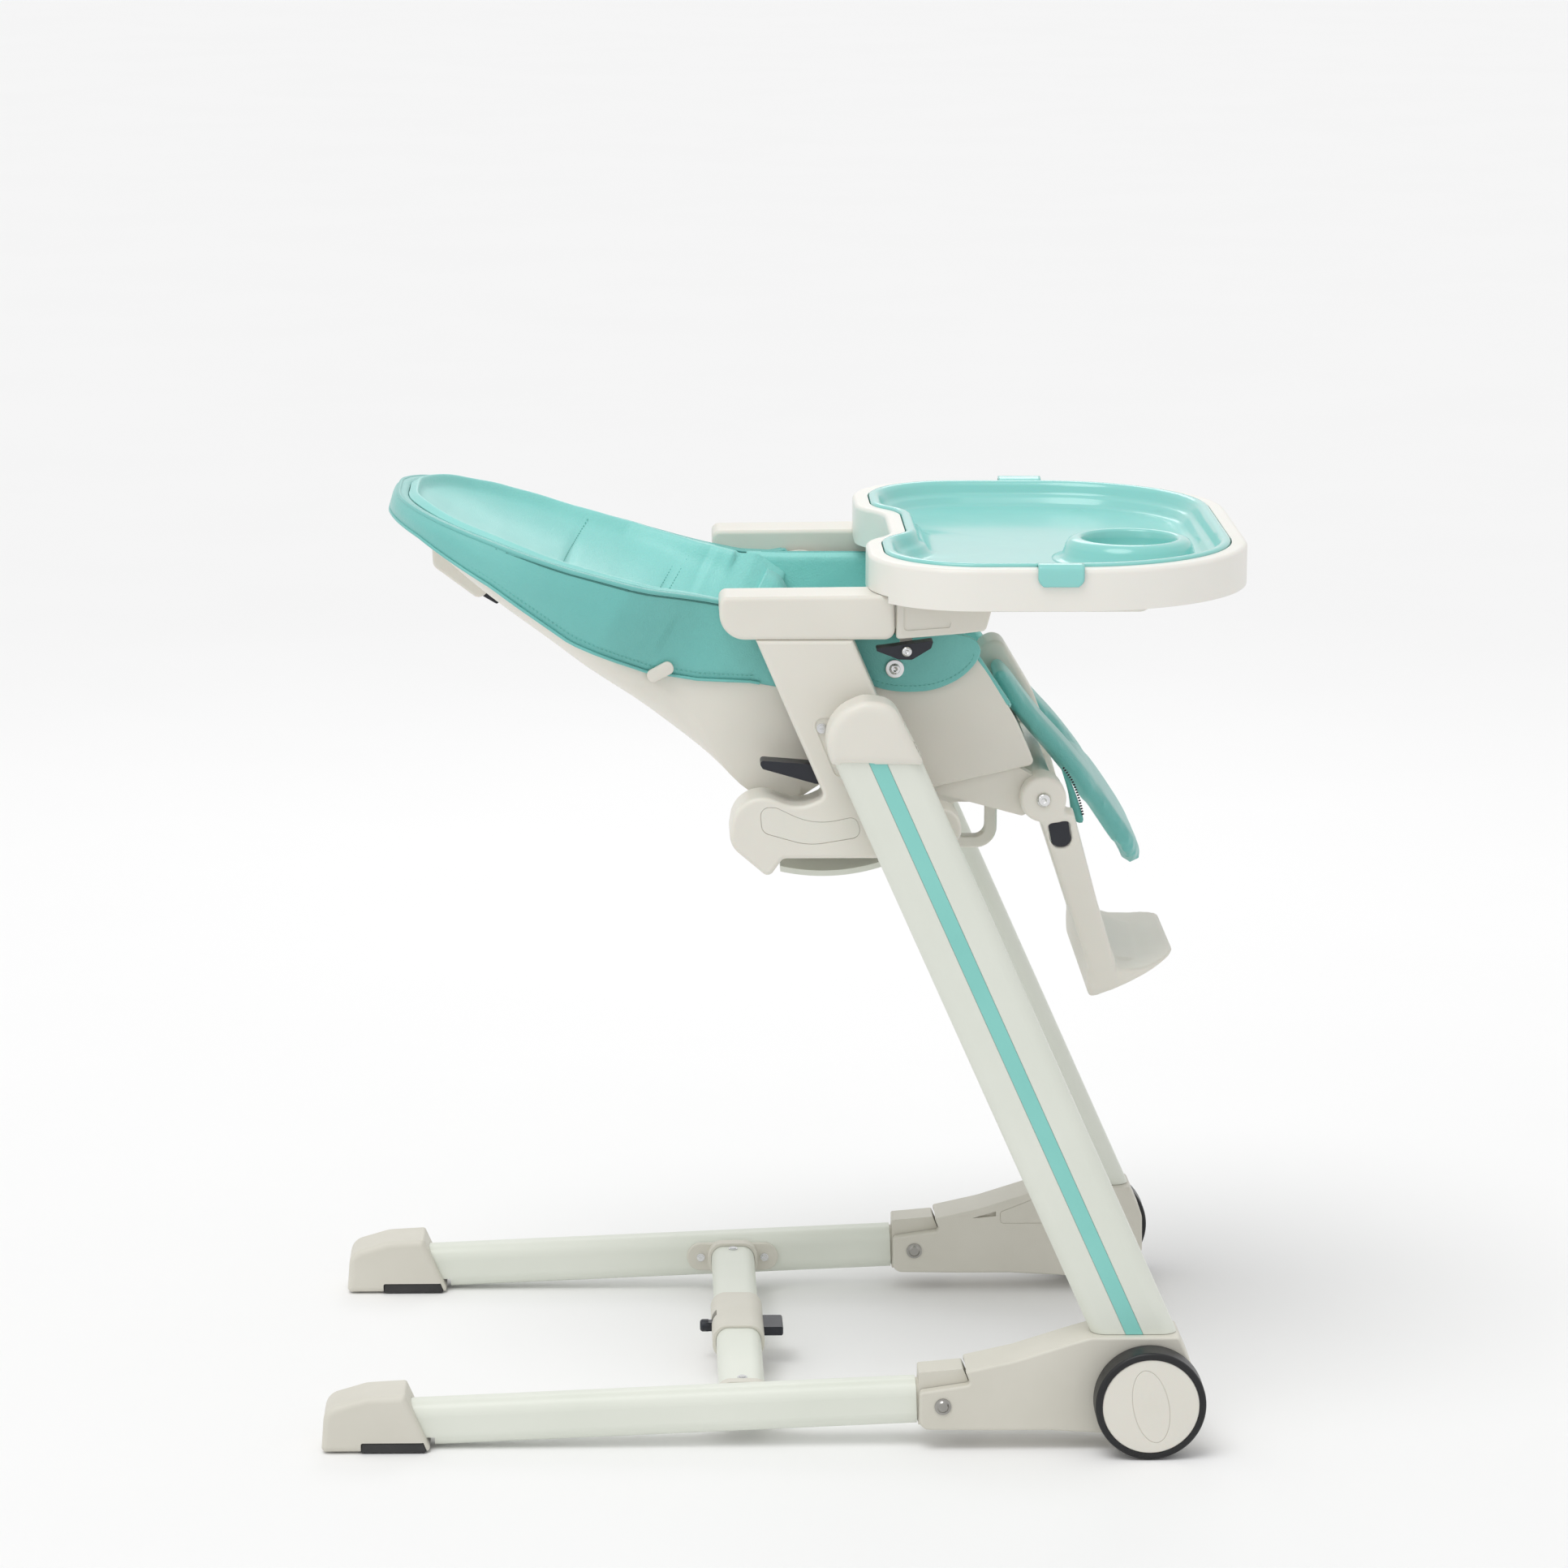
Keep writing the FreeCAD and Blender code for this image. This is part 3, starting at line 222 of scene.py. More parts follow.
def between(table, x):
    # straight interpolation in a table of pairs
    table = sorted(table)
    if x <= table[0][0]:
        return table[0][1]
    for (x0, y0), (x1, y1) in zip(table, table[1:]):
        if x <= x1:
            t = (x - x0) / (x1 - x0)
            return y0 + (y1 - y0) * t
    return table[-1][1]


def eased(t):
    t = max(0.0, min(1.0, t))
    return t * t * (3 - 2 * t)


def smoothPath(points, step):
    # curve through the points, then points at even steps along it
    points = [Vector(p) for p in points]
    ends = [points[0] * 2 - points[1]] + points + [points[-1] * 2 - points[-2]]
    dense = []
    for i in range(1, len(ends) - 2):
        a, b, c, d = ends[i - 1:i + 3]
        for k in range(12):
            t = k / 12
            dense.append(0.5 * (2 * b + (c - a) * t + (2 * a - 5 * b + 4 * c - d) * t ** 2
                                + (3 * b - a - 3 * c + d) * t ** 3))
    dense.append(points[-1])
    out, gone = [dense[0]], 0.0
    for p, q in zip(dense, dense[1:]):
        length = (q - p).length
        while length > 1e-9 and gone + length >= step:
            p = p.lerp(q, (step - gone) / length)
            out.append(p.copy())
            length, gone = (q - p).length, 0.0
        gone += length
    return out


def gridPiece(name, material, across, along, place, thick=0.0, offset=-1, levels=0):
    # a sheet: place gives the point for two numbers from 0 to 1
    bm = bmesh.new()
    bmesh.ops.create_grid(bm, x_segments=along, y_segments=across, size=0.5)
    for v in bm.verts:
        v.co = place(v.co.x + 0.5, v.co.y + 0.5)
    bmesh.ops.remove_doubles(bm, verts=bm.verts, dist=1e-5)
    bmesh.ops.recalc_face_normals(bm, faces=bm.faces)
    piece = fromBmesh(name, bm, material)
    if thick:
        solid = piece.modifiers.new("wall", "SOLIDIFY")
        solid.thickness, solid.offset = thick, offset
    if levels:
        subdivide = piece.modifiers.new("smooth", "SUBSURF")
        subdivide.levels = subdivide.render_levels = levels
    return piece


def settled(piece):
    # what the modifiers make, as the piece's own mesh
    bpy.context.view_layer.update()
    mesh = bpy.data.meshes.new_from_object(piece.evaluated_get(bpy.context.evaluated_depsgraph_get()))
    old = piece.data
    piece.modifiers.clear()
    piece.data = mesh
    bpy.data.meshes.remove(old)
    for face in mesh.polygons:
        face.use_smooth = True
    return piece


def tubePiece(name, material, points, radius, closed=False, sides=8):
    curve = bpy.data.curves.new(name, "CURVE")
    curve.dimensions = "3D"
    curve.bevel_depth, curve.bevel_resolution, curve.use_fill_caps = radius, max(1, sides // 4), True
    spline = curve.splines.new("POLY")
    spline.points.add(len(points) - 1)
    for spot, p in zip(spline.points, points):
        spot.co = (*p, 1)
    spline.use_cyclic_u = closed
    holder = bpy.data.objects.new(name + "_line", curve)
    bpy.context.scene.collection.objects.link(holder)
    bpy.context.view_layer.update()
    mesh = bpy.data.meshes.new_from_object(holder.evaluated_get(bpy.context.evaluated_depsgraph_get()))
    bpy.data.objects.remove(holder)
    bpy.data.curves.remove(curve)
    return newObject(name, mesh, material)


def ringedForm(bm, outlines):
    # a skin through closed outlines of the same count: each ring is drawn out of the one before
    start = [bm.verts.new(p) for p in outlines[0]]
    edges = [bm.edges.new((start[i], start[(i + 1) % len(start)])) for i in range(len(start))]
    first, ring = edges, start
    for outline in outlines[1:]:
        place = {tuple(round(c * 1e7) for c in v.co): p for v, p in zip(ring, outline)}
        order = {tuple(round(c * 1e7) for c in v.co): i for i, v in enumerate(ring)}
        grown = bmesh.ops.extrude_edge_only(bm, edges=edges)["geom"]
        fresh = [g for g in grown if isinstance(g, bmesh.types.BMVert)]
        edges = [g for g in grown if isinstance(g, bmesh.types.BMEdge)
                 and g.verts[0] in fresh and g.verts[1] in fresh]
        keys = [tuple(round(c * 1e7) for c in v.co) for v in fresh]
        ring = [v for _, v in sorted(zip((order[k] for k in keys), fresh), key=lambda pair: pair[0])]
        for v, k in zip(fresh, keys):
            v.co = place[k]
    return first, edges


stitchSizes = {"pitch": 0.0042, "length": 0.0029, "radius": 0.00042}


def stitchPiece(name, paths, lift=0.0):
    # a run of small thread bars along each path
    bm = bmesh.new()
    for path in paths:
        spots = smoothPath(path, stitchSizes["pitch"])
        for p, q in zip(spots, spots[1:]):
            run = (q - p).normalized()
            turn = run.to_track_quat("X", "Z").to_matrix().to_4x4()
            size = Matrix.Diagonal((stitchSizes["length"] / 2, stitchSizes["radius"], stitchSizes["radius"], 1))
            bmesh.ops.create_uvsphere(bm, u_segments=6, v_segments=4, radius=1,
                                      matrix=Matrix.Translation((p + q) / 2) @ turn @ size)
    return fromBmesh(name, bm, "stitch_thread")


def ringPiece(name, material, profile, centre, axis="Z", steps=48):
    # a turned shape: profile is (radius, height) pairs
    bm = bmesh.new()
    spots = [bm.verts.new((r, 0, h)) for r, h in profile]
    edges = [bm.edges.new(pair) for pair in zip(spots, spots[1:])]
    bmesh.ops.spin(bm, geom=spots + edges, cent=(0, 0, 0), axis=(0, 0, 1), angle=math.tau, steps=steps,
                   use_merge=True)
    bmesh.ops.remove_doubles(bm, verts=bm.verts, dist=1e-6)
    bmesh.ops.recalc_face_normals(bm, faces=bm.faces)
    turn = {"Z": Matrix.Identity(4), "-Y": Matrix.Rotation(math.pi / 2, 4, "X"),
            "Y": Matrix.Rotation(-math.pi / 2, 4, "X")}[axis]
    bmesh.ops.transform(bm, matrix=Matrix.Translation(centre) @ turn, verts=bm.verts)
    return fromBmesh(name, bm, material)


def softened(name, material, nodeNames, voxel, rounds):
    # copies of plain solids melted together into one moulded form
    bm = bmesh.new()
    for nodeName in nodeNames:
        bm.from_mesh(nodes[nodeName].data)
    bmesh.ops.remove_doubles(bm, verts=bm.verts, dist=1e-5)
    piece = fromBmesh(name, bm, material)
    melt = piece.modifiers.new("melt", "REMESH")
    melt.mode, melt.voxel_size, melt.adaptivity = "VOXEL", voxel, 0.0
    ease = piece.modifiers.new("ease", "SMOOTH")
    ease.factor, ease.iterations = 0.5, rounds
    settled(piece)
    piece.data.materials.clear()
    piece.data.materials.append(materials[material])
    return piece


def cutSlot(piece, centre, size, corner):
    # a round-edged opening through a pad
    cutter = bpy.data.objects.new("cutter", bpy.data.meshes.new("cutter"))
    bpy.context.scene.collection.objects.link(cutter)
    bm = bmesh.new()
    bmesh.ops.create_cube(bm, size=1, matrix=Matrix.Translation(centre) @ Matrix.Diagonal((*size, 1)))
    bmesh.ops.bevel(bm, geom=bm.edges[:], offset=corner, offset_type="OFFSET", affect="EDGES", segments=4,
                    profile=0.5, material=-1)
    bm.to_mesh(cutter.data)
    bm.free()
    cut = piece.modifiers.new("slot", "BOOLEAN")
    cut.object, cut.operation, cut.solver = cutter, "DIFFERENCE", "EXACT"
    settled(piece)
    bpy.data.objects.remove(cutter)


def inflated(piece, voxel, cap):
    # cloth filled with air, no point moved further than the cap
    melt = piece.modifiers.new("melt", "REMESH")
    melt.mode, melt.voxel_size = "VOXEL", voxel
    settled(piece)
    start = [v.co.copy() for v in piece.data.vertices]
    cloth = piece.modifiers.new("cloth", "CLOTH")
    cloth.settings.use_pressure = True
    cloth.settings.uniform_pressure_force = 4
    cloth.settings.effector_weights.gravity = 0
    cloth.settings.quality = 5
    for step in range(1, 21):
        bpy.context.scene.frame_set(step)
    settled(piece)
    bpy.context.scene.frame_set(1)
    for v, old in zip(piece.data.vertices, start):
        move = v.co - old
        if move.length > cap:
            v.co = old + move * (cap / move.length)
    finer = piece.modifiers.new("smooth", "SUBSURF")
    finer.levels = finer.render_levels = 1
    return settled(piece)


def along(piece, body, slot, *replaced):
    if replaced:
        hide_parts(*replaced)
    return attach(piece, body)



# backrest, in its own frame: u up the back from the recline pins, w towards the child, millimetres
backFrame = {"pinX": 28.4, "pinZ": 681.0, "narrow": 149.7, "wide": 176.0, "taper": 8.0, "head": 408.0,
             "headRound": 150.0, "coverOut": 3.4, "run": 0.8746, "rise": 0.4848}
rimLine = [(12, 10), (44, 14), (52, 44), (58, 50), (70, 40), (94, 28), (119, 20), (180, 1), (252, -17), (325, -31),
           (408, -50)]
hemLine = [(12, -12), (30, -18), (60, -28), (102, -49), (145, -64), (220, -71), (305, -62), (380, -62), (412, -66)]
shellLine = [(-54, -116), (4, -117), (235, -84), (408, -64)]


def backPoint(u, w, y):
    b = backFrame
    x, z = b["pinX"] - b["run"] * u + b["rise"] * w, b["pinZ"] + b["rise"] * u + b["run"] * w
    return Vector((x, y, z)) / 1000


def halfAt(u, inset):
    b = backFrame
    narrow, wide = b["narrow"] - inset, b["wide"] - inset
    if u < 196:
        return narrow + (wide - narrow) * eased((u - 120) / 84)
    return wide - b["taper"] * (u - 196) / (b["head"] - 196)


def rimPath(inset, first, count=96):
    # plan of the rim from the near side round the head to the far side, as (u, y)
    b = backFrame
    r = b["headRound"] - inset
    head = b["head"] - inset
    turnU = head - r
    side = [(first + (turnU - first) * i / 24, -halfAt(first + (turnU - first) * i / 24, inset))
            for i in range(24)]
    edge = halfAt(turnU, inset)
    corner = [(turnU + r * math.sin(a), -(edge - r + r * math.cos(a)))
              for a in (math.pi / 2 * i / 24 for i in range(25))]
    near = side + corner
    return near + [(u, -y) for u, y in reversed(near)]


linerShape = {"inset": 5.0, "low": 34.0, "edgeRise": 8.0, "bowl": 3.0, "lining": 135.0}


def linerPlan(a, b):
    # a runs up the back, b across from the near side to the far side
    f, s = backFrame, linerShape
    r = f["headRound"] - s["inset"]
    head = f["head"] - s["inset"]
    turnU = head - r
    if a < 0.6:
        u = s["low"] + (turnU - s["low"]) * a / 0.6
        half, close = halfAt(u, s["inset"]), 0.0
    else:
        angle = math.pi / 2 * (a - 0.6) / 0.4
        u = turnU + r * math.sin(angle)
        half, close = halfAt(turnU, s["inset"]) - r + r * math.cos(angle), math.sin(angle)
    half = min(half, s["lining"] + 4 * eased((u - 96) / 20) + 200 * eased((u - 116) / 30))
    return u, half * b, close


seamPuff = [(34, 0), (60, 1), (95, 3), (128, 1.5), (139, -0.5), (145, -3), (151, -0.5), (165, 1.5), (200, 3),
            (231, 0.8), (238, -2.5), (245, 0.8), (310, 3), (360, 2), (408, 0)]
floorLine = [(34, -56), (100, -50), (150, -44), (240, -48), (300, -52), (360, -55), (408, -52)]


def linerPoint(a, b):
    s = linerShape
    b = b * 2 - 1
    # more rows near the rim
    b = math.copysign(math.sin(abs(b) * math.pi / 2) ** 0.9, b)
    u, y, close = linerPlan(a, b)
    out = 1 - (1 - abs(b) ** s["bowl"]) * (1 - close ** 4)
    low = between(floorLine, u)
    high = between(rimLine, u) + 3.4
    if u < 100:
        high = min(high, 30 + 0.1 * u)
    w = low + (high - low) * out
    puff = between(seamPuff, u) * (1 - out) * (1 - abs(b) ** 6)
    edge = s["edgeRise"] * math.exp(-((1 - out - 0.12) / 0.09) ** 2) * (u > 100)
    fold = 1.6 * noise.noise(Vector((u / 34, y / 46, 0.3))) * (1 - abs(out - 0.5))
    return backPoint(u, w + puff + edge + fold, y)


hookShape = {"x": -118.0, "y": 158.6, "z": 696.5, "size": (25.0, 4.0, 12.0), "tilt": -28.0}


def makeBack():
    # the lining uses the leather painted lighter, a painted sheen
    liner = gridPiece("back_liner", "sheen_lit_leather", 110, 130, lambda a, b: linerPoint(a, b), thick=0.006)
    settled(liner)
    along(liner, "backrest", "teal_leather", "back_cushion")

    out = backFrame["coverOut"]
    path = rimPath(-out, 14)
    last = len(path) - 1

    def skirtPoint(t, s):
        i = t * last
        k = min(int(i), last - 1)
        (u0, y0), (u1, y1) = path[k], path[k + 1]
        u, y = u0 + (u1 - u0) * (i - k), y0 + (y1 - y0) * (i - k)
        across = Vector((y1 - y0, -(u1 - u0)))
        across = across.normalized() if across.length else Vector((0, 1))
        top, low = between(rimLine, u) + out, between(hemLine, u)
        w = top + (low - top) * s
        gather = math.exp(-((u - 95) / 55) ** 2)
        bulge = 3.2 * math.sin(math.pi * min(1, s * 1.15)) * eased((u - 60) / 60)
        crease = noise.noise(Vector((u / (16 + 20 * (1 - gather)), s * 2.2, 4.0 + (y > 0)))) * (0.8 + 2.6 * gather)
        push = bulge + crease * math.sin(math.pi * s) + 0.5
        if u < 150:
            push = min(push, 1.0 + 0.02 * max(0, u - 100))
        push -= 2.2 * eased((s - 0.86) / 0.14)
        return backPoint(u + across.x * push, w, y + across.y * push)

    skirt = gridPiece("back_skirt", "teal_leather", 26, 260, skirtPoint, thick=0.0022, offset=-1)
    settled(skirt)
    along(skirt, "backrest", "teal_leather", "back_cover")

    def rimAt(inset, rise):
        return [backPoint(u, between(rimLine, u) + rise, y) for u, y in rimPath(inset, 53)]

    # the top band joins the skirt and the liner
    inner, outer = rimPath(linerShape["inset"], 53), rimPath(-out, 53)

    def bandPoint(t, s):
        i = t * last
        k = min(int(i), last - 1)
        f = i - k
        a = Vector(outer[k]).lerp(Vector(outer[k + 1]), f)
        b = Vector(inner[k]).lerp(Vector(inner[k + 1]), f)
        p = a.lerp(b, s)
        return backPoint(p.x, between(rimLine, p.x) + out + 1.2 * math.sin(math.pi * s), p.y)

    band = gridPiece("back_rim_band", "teal_leather", 10, 260, bandPoint, thick=0.0022)
    settled(band)
    along(band, "backrest", "teal_leather")
    piping = tubePiece("back_piping", "teal_leather", rimAt(-out - 0.4, out - 0.8), 0.0020)
    along(piping, "backrest", "teal_leather")
    # a dark tube just under the piping: painted shadow in the seam
    pipingShadow = tubePiece("back_piping_shadow_line", "seam_shadow", rimAt(-out - 0.5, out - 3.6), 0.0011)
    along(pipingShadow, "backrest", "teal_leather")
    hem = [backPoint(u, between(hemLine, u) + 7, y) for u, y in rimPath(-out - 1.0, 60)]
    along(stitchPiece("back_hem_stitches", [hem]), "backrest", "teal_leather")
    hemRoll = tubePiece("back_hem_roll", "teal_leather",
                        [backPoint(u, between(hemLine, u) + 0.8, y) for u, y in rimPath(-out, 52)], 0.0014)
    along(hemRoll, "backrest", "teal_leather")
    seams = []
    for u0 in (141, 149, 240):
        line = []
        for i in range(41):
            b = -0.93 + 1.86 * i / 40
            u, y = u0 - 10 * b * b + 4, halfAt(u0, linerShape["inset"]) * b
            out2 = abs(b) ** linerShape["bowl"]
            low, high = between(floorLine, u), between(rimLine, u) + 3.4
            puff = between(seamPuff, u) * (1 - out2) * (1 - abs(b) ** 6)
            fold = 1.6 * noise.noise(Vector((u / 34, y / 46, 0.3))) * (1 - abs(out2 - 0.5))
            edge = linerShape["edgeRise"] * math.exp(-((1 - out2 - 0.12) / 0.09) ** 2)
            line.append(backPoint(u, low + (high - low) * out2 + puff + fold + edge + 0.5, y))
        seams.append(line)
    along(stitchPiece("liner_stitches", seams), "backrest", "teal_leather")
    # moulded hooks of the shell that hold the hem
    h = hookShape
    for side, name in ((-1, "near"), (1, "far")):
        bm = bmesh.new()
        turn = Matrix.Rotation(math.radians(h["tilt"]), 4, "Y")
        spot = Matrix.Translation((h["x"] / 1000, side * h["y"] / 1000, h["z"] / 1000))
        bmesh.ops.create_cube(bm, size=1, matrix=spot @ turn @ Matrix.Diagonal((*(c / 1000 for c in h["size"]), 1)))
        bmesh.ops.bevel(bm, geom=[e for e in bm.edges if abs((e.verts[0].co - e.verts[1].co).y) > 0.002],
                        offset=0.0052, offset_type="OFFSET", affect="EDGES", segments=6, profile=0.5, material=-1)
        bmesh.ops.bevel(bm, geom=bm.edges[:], offset=0.0006, offset_type="OFFSET", affect="EDGES", segments=2,
                        profile=0.5, material=-1)
        along(fromBmesh("hem_hook_" + name, bm, "seat_plastic"), "backrest", "seat_plastic")
    print("backrest cover made")


makeBack()


# the shell's lower edges rounded off, walls kept
shellRound = {"radius": 52.0, "lift": 30.0, "sharp": 38.0}


def makeShell():
    f = backFrame
    bm = bmesh.new()
    bm.from_mesh(nodes["backrest_shell"].data)
    bmesh.ops.remove_doubles(bm, verts=bm.verts, dist=1e-5)
    cuts = [((0, side * y / 1000, 0), (0, 1, 0)) for side in (-1, 1)
            for y in (100, 112, 122, 130, 137, 143, 149, 154, 158, 162, 165.5, 168.5, 171, 173)]
    cuts += [(backPoint(0, w, 0), (f["rise"], 0, f["run"])) for w in range(-112, 20, 8)]
    cuts += [(backPoint(u, 0, 0), (-f["run"], 0, f["rise"])) for u in range(10, 406, 12)]
    for spot, facing in cuts:
        bmesh.ops.bisect_plane(bm, geom=bm.verts[:] + bm.edges[:] + bm.faces[:], plane_co=spot, plane_no=facing)
    turnU = f["head"] - f["headRound"]
    edge = halfAt(turnU, 0)
    for v in bm.verts:
        dx, dz, y = v.co.x * 1000 - f["pinX"], v.co.z * 1000 - f["pinZ"], v.co.y * 1000
        u, w = f["rise"] * dz - f["run"] * dx, f["rise"] * dx + f["run"] * dz
        if u > turnU:
            e = f["headRound"] - math.hypot(u - turnU, max(0, abs(y) - (edge - f["headRound"])))
        else:
            e = halfAt(u, 0) - abs(y)
        t = max(0.0, min(1.0, 1 - e / shellRound["radius"]))
        low, high = between(shellLine, u), between(rimLine, max(u, 60))
        share = max(0.0, min(1.0, (w - low) / (high - low)))
        lift = min(shellRound["lift"], 0.5 * (high - low)) * (1 - math.sqrt(1 - t * t)) * (1 - share)
        v.co = backPoint(u, w + lift * eased((u - 20) / 90), y)
    shell = fromBmesh("back_shell_moulding", bm, "seat_plastic")
    for face in shell.data.polygons:
        face.use_smooth = True
    shell.data.set_sharp_from_angle(angle=math.radians(shellRound["sharp"]))
    along(shell, "backrest", "seat_plastic", "backrest_shell")
    print("shell made")


makeShell()


# seat: pad, side lining, side flaps
seatShape = {"rear": -20.0, "front": 205.0, "half": 138.0, "low": 633.2, "slotHalf": 27.5,
             "liningRear": -34.0}


def makeSeat():
    s = seatShape

    def padPoint(a, b):
        b = b * 2 - 1
        x = s["rear"] + (s["front"] - s["rear"]) * a
        half = s["half"]
        y = half * b
        crown = (1 - abs(b) ** 5) * (1 - abs(a * 2 - 1) ** 6)
        return Vector((x, y, s["low"] + 7 + 17 * crown + 1.2 * noise.noise(Vector((x / 40, y / 40, 2))))) / 1000

    # the seat pad uses the leather painted lighter, a painted sheen
    pad = gridPiece("seat_pad", "sheen_lit_leather", 70, 60, padPoint, thick=0.012)
    settled(pad)
    cutSlot(pad, (0.25, 0, 0.65), (0.168, 2 * s["slotHalf"] / 1000, 0.2), 0.008)
    inflated(pad, 0.004, 0.006)
    along(pad, "seat", "teal_leather", "seat_cushion")

    # lining up the inside of the pan, rolled at its top edge
    topLine = [(-34, 752), (4, 751), (60, 751), (120, 750), (146, 728), (166, 706), (186, 676), (200, 655)]
    for side, name in ((-1, "near"), (1, "far")):
        def liningPoint(a, b, side=side):
            x = s["liningRear"] + (196 - s["liningRear"]) * a
            clear = 4.0 * eased((24 - x) / 16)
            top = between(topLine, x)
            low = 650
            if b < 0.8:
                t = b / 0.8
                z = low + (top - 3 - low) * t
                y = 132 + clear + (6.8 - clear) * eased(t * 3)
                y += (1.4 - 0.35 * clear) * math.sin(math.pi * t) * noise.noise(Vector((x / 25, z / 25, side)))
            else:
                t = (b - 0.8) / 0.2
                y, z = 138.8 + 4.0 * t, top - 3 + 3.4 * math.sin(math.pi / 2 * t)
            return Vector((x, side * y, z)) / 1000
        # the side lining uses the leather painted lighter, a painted sheen
        lining = gridPiece("seat_lining_" + name, "sheen_lit_leather", 40, 60, liningPoint, thick=0.0025, offset=1)
        settled(lining)
        along(lining, "seat", "teal_leather")
        edge = [Vector((x, side * 142.6, between(topLine, x) + 1.2)) / 1000 for x in range(-20, 197, 6)]
        along(tubePiece("seat_piping_" + name, "teal_leather", smoothPath(edge, 0.004), 0.0024), "seat",
              "teal_leather")

    # buttoned side flaps
    flapLine = [(50, 727), (50.5, 708), (55, 697), (66, 686), (80, 679.5), (100, 676.5), (125, 678), (146, 686),
                (160, 697), (168, 709), (168, 718), (160, 726), (140, 730), (100, 730), (70, 729)]
    for side, name in ((-1, "near"), (1, "far")):
        bm = bmesh.new()
        outline = smoothPath([Vector((x, side * 150.3, z)) / 1000 for x, z in flapLine + flapLine[:1]], 0.004)
        spots = [bm.verts.new(p) for p in outline[:-1]]
        face = bm.faces.new(spots)
        grown = bmesh.ops.extrude_face_region(bm, geom=[face])
        moved = [g for g in grown["geom"] if isinstance(g, bmesh.types.BMVert)]
        bmesh.ops.translate(bm, verts=moved, vec=(0, side * 0.0028, 0))
        bmesh.ops.recalc_face_normals(bm, faces=bm.faces)
        rim = [e for e in bm.edges if e.verts[0] in moved and e.verts[1] in moved]
        bmesh.ops.bevel(bm, geom=rim, offset=0.0011, offset_type="OFFSET", affect="EDGES", segments=3,
                        profile=0.5, material=-1)
        flap = fromBmesh("side_flap_" + name, bm, "teal_leather")
        if side < 0:
            along(flap, "seat", "teal_leather", "cover_flaps")
        else:
            along(flap, "seat", "teal_leather")
        inner = [Vector((109 + (x - 109) * 0.91, side * 153.3, 704 + (z - 704) * 0.80)) / 1000
                 for x, z in flapLine[1:11]]
        along(stitchPiece("flap_stitches_" + name, [inner]), "seat", "teal_leather")
    print("seat cover made")


makeSeat()

# padded fold of the cover across the recline hinge
foldShape = {"half": 131.0, "thick": 0.004, "lift": 1.6,
             "seatPart": [(24, 656.5), (6, 655.5), (-10, 652.5), (-21, 650)], "backPart": [36, 50, 66],
             "start": (0.002, 0, 0.655), "end": (-0.034, 0, 0.656)}


def makeFold():
    c = foldShape

    def foldPoint(a, b):
        y = c["half"] * (b * 2 - 1)
        side = abs(y) / linerShape["lining"]
        rise = 10 * side ** 8
        points = [Vector((x, y, z + rise + c["lift"])) / 1000 for x, z in c["seatPart"]]
        for u in c["backPart"]:
            low, high = between(floorLine, u), min(between(rimLine, u) + 3.4, 30 + 0.1 * u)
            out = side ** linerShape["bowl"]
            w = low + (high - low) * out + between(seamPuff, u) * (1 - out)
            points.append(backPoint(u, w + c["lift"] - 0.02 * (u - 36), y))
        i = a * (len(points) - 1)
        k = min(int(i), len(points) - 2)
        ends = [points[max(0, k - 1)], points[k], points[k + 1], points[min(len(points) - 1, k + 2)]]
        t, (p, q, r, v) = i - k, ends
        return 0.5 * (2 * q + (r - p) * t + (2 * p - 5 * q + 4 * r - v) * t ** 2 + (3 * q - p - 3 * r + v) * t ** 3)

    # the fold uses the leather painted lighter, a painted sheen
    fold = gridPiece("cover_fold", "sheen_lit_leather", 44, 36, foldPoint, thick=c["thick"], offset=0)
    settled(fold)
    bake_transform(fold)
    print("cover fold made")


makeFold()


# padded flap behind the calves, hanging from the seat over the footrest
calfLine = [(198, 690), (213, 664), (230, 641), (249.7, 619), (265.4, 600), (289, 568.5), (308, 541), (321, 521),
            (331, 499)]
calfShape = {"half": 98.0, "thick": 11.0, "slotHalf": 28.0}


def makeCalfFlap():
    c = calfShape
    line = smoothPath([(x / 1000, 0, z / 1000) for x, z in calfLine], 0.003)
    last = len(line) - 1

    def spot(t):
        i = t * last
        k = min(int(i), last - 1)
        run = (line[k + 1] - line[k]).normalized()
        return line[k].lerp(line[k + 1], i - k), Vector((-run.z, 0, run.x))

    def flapPoint(a, b):
        b = b * 2 - 1
        p, out = spot(a)
        half = c["half"] * (1 - 0.06 * (1 - a)) - 30 * (max(0, a - 0.84) / 0.16) ** 3
        puff = 3.4 * (1 - abs(b) ** 6) * (1 - abs(a * 2 - 1) ** 8)
        puff -= 2.6 * math.exp(-((a - 0.62) / 0.018) ** 2)
        puff += 1.0 * noise.noise(Vector((a * 6, b * 3, 8)))
        return p - out * (c["thick"] - puff) / 1000 * 0.5 + Vector((0, half * b / 1000, 0))

    flap = gridPiece("calf_flap", "teal_leather", 64, 76, flapPoint, thick=c["thick"] / 1000, offset=-1)
    settled(flap)
    cutSlot(flap, (0.24, 0, 0.66), (0.2, 2 * c["slotHalf"] / 1000, 0.122), 0.012)
    inflated(flap, 0.004, 0.004)
    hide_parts("calf_pad")
    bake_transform(flap)
    print("calf flap made")


makeCalfFlap()

# open end of the cover's zip, hanging beside the flap
zipShape = {"y": -125.0, "tape": 0.0018, "pitch": 0.0026, "tooth": (0.0009, 0.0016, 0.0012),
            "outline": [(244.7, 601.5), (253, 590.2), (260.6, 571.4), (266.1, 551), (256.5, 554), (251.7, 578.9)],
            "teeth": [(247.5, 600.5), (255.5, 588.5), (262.2, 571), (266.6, 553)]}


